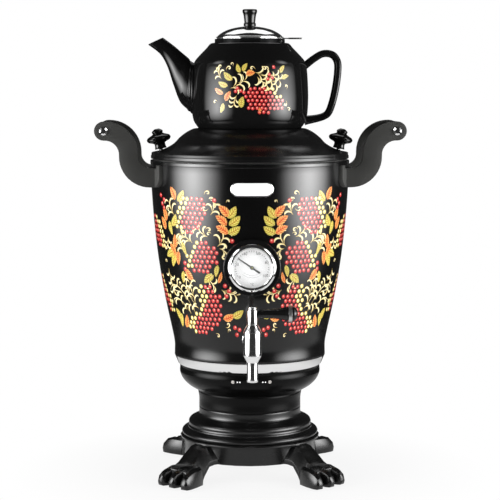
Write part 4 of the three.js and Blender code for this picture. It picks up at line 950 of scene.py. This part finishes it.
# Angles of the labels, from the right and upwards
DIAL_LABELS = [(217, "0"), (168, "20"), (116, "40"), (67, "60"), (19, "80"), (-31.5, "100")]
LABEL_RADIUS = 0.0146
LABEL_SIZE = 0.0037
UNIT_DROP = 0.0158
UNIT_SIZE = 0.0032
TICK_RADIUS = 0.0156
TICK_SIZE = (0.0013, 0.00004, 0.0004)
TICKS_BETWEEN = 6
ARC_RADII = (0.012, 0.0142)
ARC_RISE = 0.0048
ARC_START = -128
ARC_SPAN = 76
ARC_DASHES = 24
DASH_SIZE = (0.00014, 0.00003, 0.00085)
INK_LIFT = 0.00004


def written(text, size):
    """A word as a flat mesh centred on the origin of the XZ plane, facing the front."""
    curve = bpy.data.curves.new("word", "FONT")
    curve.body = text
    curve.size = size
    curve.align_x = "CENTER"
    curve.align_y = "CENTER"
    curve.resolution_u = 2
    curve.extrude = 0.00001
    mesh = evaluated(placed("word", curve))
    mesh.transform(Matrix.Rotation(math.pi / 2, 4, "X"))
    return mesh


def on_dial(centre, angle, radius):
    """A place on the dial, by its angle from the right."""
    turn = math.radians(angle)
    return centre + Vector((math.cos(turn), 0, math.sin(turn))) * radius


def mark(shape, place, size, angle):
    """Adds a thin bar, turned about the dial's axis."""
    bmesh.ops.create_cube(shape, size=1, matrix=Matrix.Translation(place)
                          @ Matrix.Rotation(-math.radians(angle), 4, "Y") @ Matrix.Diagonal((*size, 1)))


def make_dial():
    """Ticks, numbers, two arcs and the unit, printed on the dial."""
    centre = Vector((0, corners("gauge_dial")[0].y - INK_LIFT, middle("gauge_dial").z))
    shape = bmesh.new()
    for (start, _), (end, _) in zip(DIAL_LABELS, DIAL_LABELS[1:]):
        for tick in range(1, TICKS_BETWEEN):
            angle = start + (end - start) * tick / TICKS_BETWEEN
            mark(shape, on_dial(centre, angle, TICK_RADIUS), TICK_SIZE, angle)
    for radius in ARC_RADII:
        for step in range(ARC_DASHES):
            angle = ARC_START + ARC_SPAN * step / (ARC_DASHES - 1)
            mark(shape, on_dial(centre, angle, radius) + UP * ARC_RISE, DASH_SIZE, angle)
    words = [(on_dial(centre, angle, LABEL_RADIUS), text, LABEL_SIZE) for angle, text in DIAL_LABELS]
    words.append((centre - UP * UNIT_DROP, "°C", UNIT_SIZE))
    for place, text, size in words:
        mesh = written(text, size)
        mesh.transform(Matrix.Translation(place))
        shape.from_mesh(mesh)
    finished("dial_print", shape, STAND, "ink")


make_dial()


NEEDLE_ANGLE = math.radians(145.5)
NEEDLE_THICKNESS = 0.0004
# Reach, width at the hub and width at the end
NEEDLE_ARMS = [(0.0158, 0.0014, 0.0008), (-0.0088, 0.0014, 0.002)]


def disc(shape, centre, radius, end_radius, depth):
    """Adds a short round pin along the dial's axis."""
    bmesh.ops.create_cone(shape, cap_ends=True, segments=32, radius1=radius, radius2=end_radius, depth=depth,
                          matrix=Matrix.Translation(centre) @ Matrix.Rotation(math.pi / 2, 4, "X"))


def make_needle():
    """The pointer with its long tip, broad tail and brass hub."""
    low, high = corners("gauge_needle")
    centre = Vector((0, 0, middle("gauge_dial").z))
    level = (low.y + high.y) / 2
    shape = bmesh.new()
    for reach, wide, narrow in NEEDLE_ARMS:
        for vert in bmesh.ops.create_cube(shape, size=1)["verts"]:
            share = vert.co.x + 0.5
            breadth = wide + (narrow - wide) * share
            vert.co = Vector((reach * share, level + vert.co.y * NEEDLE_THICKNESS, breadth * vert.co.z))
    disc(shape, BACK * level, 0.0018, 0.0018, 0.0005)
    bmesh.ops.rotate(shape, verts=shape.verts, cent=(0, 0, 0), matrix=Matrix.Rotation(-NEEDLE_ANGLE, 3, "Y"))
    bmesh.ops.translate(shape, verts=shape.verts, vec=centre)
    finished("pointer", shape, "gauge_pointer", "ink", ("gauge_needle",))
    shape = bmesh.new()
    disc(shape, centre + BACK * (low.y - 0.00005), 0.0009, 0.0007, 0.0004)
    finished("pointer_hub", shape, "gauge_pointer", "brass")


make_needle()

# Painted ornament

PAINT_LIFT = 0.00012
DRAW_FACTOR = 1103515245
DRAW_STEP = 12345
DRAW_SPAN = 2 ** 31
DAB_SIDES = 12
STROKE_STEPS = 14
COMMA_LONGEST = 12.5
COMMA_RANGE = 0.9
COMMA_LEAN = 8
COMMA_BEND = 78
COMMA_HOOK = 75
LEAF_BOW = 0.12
LEAF_CELLS = (9, 4)
LEAF_LIFT = 0.00002
BERRY_LIFT = 0.00004
PALE_BORDER = 1.6
ROW_PITCH = 0.87
UNEVEN = 0.16


class Ornament:
    """Berries, leaves and scrolls painted on a skin, each colour in a mesh of its own."""

    def __init__(self, skin, copies):
        self.skin = skin
        self.copies = copies
        self.shapes = {}
        self.drawn = 7

    def chance(self):
        """The next of a fixed run of draws, from 0 to 1."""
        self.drawn = (self.drawn * DRAW_FACTOR + DRAW_STEP) % DRAW_SPAN
        return self.drawn / DRAW_SPAN

    def lay(self, colour, grid, place, lift=0.0):
        """Bends a disc or a grid on the skin, once for each copy. Place gives a point's map and drawing."""
        if colour not in self.shapes:
            self.shapes[colour] = bmesh.new()
            self.shapes[colour].loops.layers.uv.new("laid")
        shape = self.shapes[colour]
        laid = shape.loops.layers.uv["laid"]
        for copy in self.copies:
            if grid:
                made = bmesh.ops.create_grid(shape, x_segments=grid[0], y_segments=grid[1], size=0.5)
            else:
                made = bmesh.ops.create_circle(shape, cap_ends=True, segments=DAB_SIDES, radius=0.5)
            flat = {vert: place(vert.co.x, vert.co.y) for vert in made["verts"]}
            for face in {face for vert in flat for face in vert.link_faces}:
                for loop in face.loops:
                    loop[laid].uv = flat[loop.vert][:2]
            for vert, (*_, round_way, height) in flat.items():
                vert.co = self.skin.spot(copy(round_way * MM), height * MM, PAINT_LIFT + lift)

    def berry(self, round_way, height, radius, yellow=False):
        """A round dab."""
        def dab(x, y):
            return x + 0.5, y + 0.5, round_way + x * 2 * radius, height + y * 2 * radius
        self.lay("berry_yellow" if yellow else "berry_red", None, dab, BERRY_LIFT)

    def leaf(self, round_way, height, angle, length=14.0, width=7.6, colour="yellow"):
        """A pointed leaf, a little bowed."""
        lean = math.radians(angle)

        def blade(x, y):
            along = x + 0.5
            bow = math.sin(math.pi * along) * width * LEAF_BOW
            up = y * width * math.sin(math.pi * along ** 0.8) ** 0.75 + bow
            return (along, y + 0.5, round_way + x * length * math.cos(lean) - up * math.sin(lean),
                    height + x * length * math.sin(lean) + up * math.cos(lean))
        self.lay("leaf_" + colour, LEAF_CELLS, blade, LEAF_LIFT)

    def stroke(self, start, angle, length, curl, hook, width):
        """A brush stroke that bends by curl degrees along its way and by hook more at its end."""
        path = [Vector(start)]
        heading = math.radians(angle)
        for step in range(STROKE_STEPS):
            share = (step + 0.5) / STROKE_STEPS
            heading += math.radians(curl + hook * 3 * share ** 2) / STROKE_STEPS
            path.append(path[-1] + Vector((math.cos(heading), math.sin(heading))) * length / STROKE_STEPS)

        def ribbon(x, y):
            at = round((x + 0.5) * STROKE_STEPS)
            lead = (path[min(at + 1, STROKE_STEPS)] - path[max(at - 1, 0)]).normalized()
            share = at / STROKE_STEPS
            swell = math.sin(math.pi * min(share, 0.97) ** 1.7) ** 0.8 + 0.14
            return share, y + 0.5, *(path[at] + Vector((-lead.y, lead.x)) * y * width * swell)
        self.lay("scroll", (STROKE_STEPS, 1), ribbon)

    def curl(self, round_way, height, angle, size, hand):
        """A small spiral."""
        self.stroke((round_way, height), angle, 9 * size, 120 * hand, 200 * hand, 1.1 * size)

    def plume(self, root, tip, count, hand, width=1.7):
        """A thin stem from which comma strokes peel off to both sides in turn, with curled heads."""
        way = Vector(tip) - Vector(root)
        lead = math.degrees(math.atan2(way.y, way.x))
        self.stroke(root, lead - 14 * hand, way.length, 20 * hand, 90 * hand, width * 0.5)
        for at in range(count):
            share = at / count
            side = hand if at % 2 else -hand
            length = min(way.length * (0.7 - 0.2 * share), COMMA_LONGEST)
            start = Vector(root) + way * share * COMMA_RANGE
            self.stroke(start, lead + side * COMMA_LEAN, length, side * COMMA_BEND, side * COMMA_HOOK, width)

    def bunch(self, outline, pale_side=1, pale_from=-math.inf, pitch=5.25, radius=2.1):
        """Berries packed in an outline, pale along one side."""
        low_x, high_x = min(x for x, _ in outline), max(x for x, _ in outline)
        low_y, high_y = min(y for _, y in outline), max(y for _, y in outline)
        row, height = 0, low_y
        while height <= high_y:
            x = low_x + (pitch / 2 if row % 2 else 0)
            while x <= high_x:
                if inside(outline, x, height):
                    edge = x + pale_side * pitch * PALE_BORDER
                    pale = height > pale_from and not inside(outline, edge, height)
                    aside = (self.chance() - 0.5) * pitch * UNEVEN
                    above = (self.chance() - 0.5) * pitch * UNEVEN
                    self.berry(x + aside, height + above, radius, pale)
                x += pitch
            height += pitch * ROW_PITCH
            row += 1

    def finish(self, name, body):
        """Makes a piece of each colour, with every face turned away from the axis."""
        for colour, shape in self.shapes.items():
            shape.normal_update()
            inward = [face for face in shape.faces if face.normal.dot(face.calc_center_median() - AXIS) < 0]
            bmesh.ops.reverse_faces(shape, faces=inward)
            piece = f"{name}_{colour}"
            settled(piece, as_mesh(piece, shape), body, colour, slot="enamel_black")


def inside(outline, x, y):
    """Whether a point lies in a closed outline."""
    hits = 0
    for (x0, y0), (x1, y1) in zip(outline, outline[1:] + outline[:1]):
        if (y0 > y) != (y1 > y) and x < x0 + (y - y0) * (x1 - x0) / (y1 - y0):
            hits += 1
    return hits % 2 == 1


def painted(name, body, skin, copies, motifs):
    """Lays a table of motifs on a skin and makes a piece of each of their colours."""
    art = Ornament(skin, copies)
    for draw, settings, places in motifs:
        for place in places:
            draw(art, *place, **settings)
    art.finish(name, body)


# The motifs are placed in millimetres round and up, with angles in degrees
BODY_MOTIFS = [
    (Ornament.bunch, {}, [
        ([(70, 281), (48, 281), (44, 262), (53, 252), (62, 245), (72, 242), (84, 252), (78, 266)],),
        ([(58, 241), (45, 240), (33, 228), (36, 217), (48, 207), (61, 205), (70, 214), (72, 222),
          (63, 232)], 1, 214),
        ([(61, 197), (48, 198), (34, 185), (32, 172), (36, 160), (48, 150), (62, 144), (72, 145),
          (81, 154), (74, 163), (62, 170), (58, 182)],),
        ([(135, 262), (122, 262), (108, 246), (104, 232), (112, 226), (124, 228), (136, 240)], -1),
        ([(138, 202), (126, 203), (118, 190), (108, 176), (106, 166), (114, 162), (124, 168),
          (136, 184)], -1),
    ]),
    (Ornament.berry, {"radius": 2.3}, [
        (100, 276), (104, 272), (101, 268), (106, 280), (36, 278), (19.4, 239.6), (74, 216), (74.5, 210),
        (28, 196), (24, 191), (27, 186), (19, 155), (14, 153), (17, 148),
    ]),
    (Ornament.leaf, {"colour": "orange"}, [
        (84.5, 283, 63), (27, 268, 48), (29.5, 259, 40), (29, 250, 30), (100, 262, 70), (104, 253, 60),
        (86.6, 236.5, 100), (91, 228, 60), (83, 220, -80), (69.2, 204.6, -130), (33, 204, 110, 12, 4),
        (84.4, 157.8, 110), (25.4, 165.5, 160),
    ]),
    (Ornament.leaf, {"colour": "yellow"}, [
        (73.7, 281, 129), (19, 267, 125), (16.5, 259, 140), (17, 250, 150), (91, 249, -105, 14, 6),
        (85, 257, 120), (73, 230, -110, 14, 5), (91, 217, -60), (97, 223, -20), (78.4, 202, -80, 12, 5.5),
        (45.6, 202, -35), (36, 210, -75, 12, 5), (15.1, 168.8, 150), (98.5, 163.4, 55), (93, 158, -80),
    ]),
    (Ornament.plume, {}, [
        ((44, 243), (58, 252), 5, 1), ((62, 236), (80, 246), 6, -1), ((34, 234), (24, 250), 5, -1),
        ((32, 232), (22, 226), 3, 1), ((74, 228), (84, 242), 5, 1), ((84, 262), (94, 278), 5, 1),
        ((40, 264), (34, 280), 4, -1), ((62, 172), (84, 204), 6, 1), ((68, 168), (104, 206), 6, -1),
        ((74, 166), (106, 188), 5, -1), ((66, 182), (72, 202), 5, 1), ((32, 192), (12, 186), 6, -1),
        ((50, 203), (36, 193), 4, 1), ((98, 240), (102, 226), 4, 1), ((104, 208), (98, 180), 6, -1),
    ]),
    (Ornament.curl, {}, [
        (46, 283, 90, 1.2, 1), (32, 274, 40, 1.1, -1), (42, 270, -60, 1.3, 1), (46, 250, 120, 1.1, 1),
        (40, 246, 60, 0.9, -1), (24, 276, 80, 0.7, 1), (30, 155, 200, 1.2, -1), (43, 148, 150, 1.0, 1),
        (24, 226, -90, 1.3, 1), (86, 192, 40, 1.0, 1), (96, 190, 30, 1.1, -1), (78, 186, 90, 1.0, 1),
        (27, 150, 60, 0.8, 1), (90, 268, 30, 0.9, -1), (110, 214, 90, 1.0, 1),
    ]),
]
POT_MOTIFS = [
    (Ornament.bunch, {"pitch": 4.3, "radius": 1.75}, [
        ([(-7, 380), (3, 386), (14, 385), (24, 382), (32, 373), (32, 362), (20, 360), (6, 360),
          (-5, 360.5), (-4, 368), (-9, 374)], 1, 374),
    ]),
    (Ornament.berry, {"radius": 1.8}, [
        (22.9, 403.2), (18, 396), (21, 393), (16.5, 392), (-13.2, 383), (-10, 380.5), (-15, 380),
    ]),
    (Ornament.leaf, {"colour": "yellow"}, [
        (-23, 394.6, 140, 12, 6), (-28.2, 387, 160, 11, 5.5), (-29.3, 364, -110, 10, 4.5),
        (-12.4, 402, 110, 9, 4.5), (-6, 403, 60, 9, 4.5), (32.5, 401.3, 50, 9, 4.5),
        (35.5, 393.7, 20, 9, 4.5), (-8.7, 369.8, 80, 11, 6),
    ]),
    (Ornament.leaf, {"colour": "orange"}, [
        (-32.5, 380.3, 150, 11, 5), (-22.7, 375.5, 60, 11, 5.5), (-0.6, 397, 10, 9, 6),
        (8.2, 361.7, -90, 6, 3),
    ]),
    (Ornament.plume, {"width": 1.5}, [
        ((-20, 383), (-2, 393), 6, 1), ((4, 398), (28, 386), 8, -1), ((6, 394), (18, 384), 5, 1),
        ((-14, 376), (-18, 364), 5, 1), ((18, 398), (32, 388), 5, 1), ((-30, 392), (-36, 404), 4, -1),
    ]),
    (Ornament.curl, {}, [
        (-25, 400, 100, 1.1, -1), (-33, 398, 60, 1.1, 1), (4, 401, 100, 1.0, 1), (10, 402, 60, 1.0, -1),
        (16, 399, 40, 1.0, 1), (36, 371, -40, 1.0, -1), (37, 382, 40, 0.9, 1), (37, 363, 60, 0.9, -1),
        (-18, 404, 60, 0.8, 1), (-34, 370, 120, 0.9, 1),
    ]),
]
BODY_HALF_WAY = 0.3016
POT_HALF_WAY = POT_GIRTH * math.pi

painted("body_paint", STAND, Skin(body_outline, BODY_GIRTH),
        (lambda way: way, lambda way: -way,
         lambda way: BODY_HALF_WAY - way, lambda way: way - BODY_HALF_WAY), BODY_MOTIFS)
painted("pot_paint", POT, Skin(pot_outline, POT_GIRTH), (lambda way: way, lambda way: POT_HALF_WAY - way),
        POT_MOTIFS)

# CAD nodes that no piece replaces keep their own form

for part in frame["record"]["subparts"]:
    thing = bpy.data.objects.get(part["node"])
    if thing is not None:
        thing.data.materials.clear()
        thing.data.materials.append(FINISH[part["material_slot"]])

# Floor, surroundings and lamps

AMBIENT = 0.27
MIRRORED = 0.03
FLOOR_RADIUS = 0.45
FLOOR_DROP = 0.0002
# How white the camera sees the floor near the object and far off, and where that changes
SEEN_NEAR = 0.86
SEEN_FROM = 0.1
SEEN_TO = 0.24
# The same for the floor in mirrors, which grows dark far off
GLOW_NEAR = 0.6
GLOW_FROM = 0.2
GLOW_TO = 0.34


def make_floor():
    """A pale floor that keeps the shadow near the object and fades to white farther off."""
    paint = Paint("pale_floor", roughness=0.9, specular_ior_level=0.0)
    paint.colour(paint.mixed(paint.noise(3, 2), grey(0.58), grey(0.62)))
    spread = paint.node("ShaderNodeVectorMath", {0: paint.place()}, output=1, operation="LENGTH")
    seen, mirrored = (paint.node("ShaderNodeLightPath", output=at) for at in (0, 3))
    away = paint.between(spread, SEEN_FROM, SEEN_TO) * (1 - SEEN_NEAR) + SEEN_NEAR
    near = (1 - paint.between(spread, GLOW_FROM, GLOW_TO)) * GLOW_NEAR
    glow = paint.node("ShaderNodeEmission", {"Color": (1, 1, 1, 1), "Strength": 1.0})
    shader = Signal(paint, paint.shader.outputs[0])
    blend = paint.node("ShaderNodeMixShader", {0: seen * away + mirrored * near, 1: shader, 2: glow})
    paint.set(paint.tree.nodes["Material Output"], {"Surface": blend})
    shape = bmesh.new()
    bmesh.ops.create_circle(shape, cap_ends=True, radius=FLOOR_RADIUS, segments=96)
    bmesh.ops.translate(shape, verts=shape.verts, vec=UP * (cad_box[0][2] - FLOOR_DROP))
    floor = placed("floor", as_mesh("floor", shape))
    floor.data.materials.append(paint.material)


def light_world():
    """White to the camera, dark in mirrors and an even pale grey as light."""
    world = bpy.data.worlds.new("studio")
    bpy.context.scene.world = world
    world.use_nodes = True
    nodes = Nodes(world.node_tree)
    seen, mirrored = (nodes.node("ShaderNodeLightPath", output=at) for at in (0, 3))
    nodes.set(world.node_tree.nodes["Background"], {"Color": grey(AMBIENT)})
    even = Signal(nodes, world.node_tree.nodes["Background"].outputs[0])
    dark = nodes.node("ShaderNodeBackground", {"Color": grey(MIRRORED)})
    white = nodes.node("ShaderNodeBackground", {"Color": grey(1.0)})
    blend = nodes.node("ShaderNodeMixShader", {0: mirrored, 1: even, 2: dark})
    blend = nodes.node("ShaderNodeMixShader", {0: seen, 1: blend, 2: white})
    nodes.set(world.node_tree.nodes["World Output"], {"Surface": blend})


LAMP_AIM = Vector((0, 0.011, 0.25))
# Azimuth, elevation, distance, width, height, radiance and where the fade begins
SIDE_BOXES = {
    "wide_box": (66, 8, 1.25, 1.5, 1.5, 0.4, None),
    "soft_box": (67, 0, 1.2, 1.8, 1.2, 19, 0.02),
    "upper_box": (76, 40, 1.3, 0.6, 0.7, 7, 0.1),
}
TOP_BOX = (180, 58, 1.3, 1.0, 0.6, 1.5, None)


def lamp(name, azimuth, elevation, distance, width, height, radiance, fade):
    """A soft box that faces the object; with a fade it dims from its middle to its rim."""
    light = bpy.data.lights.new(name, "AREA")
    light.shape = "RECTANGLE"
    light.size = width
    light.size_y = height
    light.energy = radiance * math.pi * width * height
    if fade:
        light.use_nodes = True
        nodes = Nodes(light.node_tree)
        across = nodes.node("ShaderNodeNewGeometry", output=5)
        x, y = nodes.parts(across)[:2]
        off = nodes.maths("SQRT", (x - 0.5) ** 2 + (y - 0.5) ** 2)
        glow = (1 - nodes.between(off, fade, 0.5)) ** 1.6
        nodes.set(light.node_tree.nodes["Emission"], {"Strength": glow})
    thing = placed(name, light)
    turn, rise = math.radians(azimuth), math.radians(elevation)
    away = Vector((math.sin(turn) * math.cos(rise), -math.cos(turn) * math.cos(rise), math.sin(rise)))
    thing.location = LAMP_AIM + away * distance
    thing.rotation_euler = away.to_track_quat("Z", "Y").to_euler()
    thing.visible_camera = False


make_floor()
light_world()
for side, turn in (("left", -1), ("right", 1)):
    for name, (azimuth, *form) in SIDE_BOXES.items():
        lamp(f"{name}_{side}", turn * azimuth, *form)
lamp("top", *TOP_BOX)
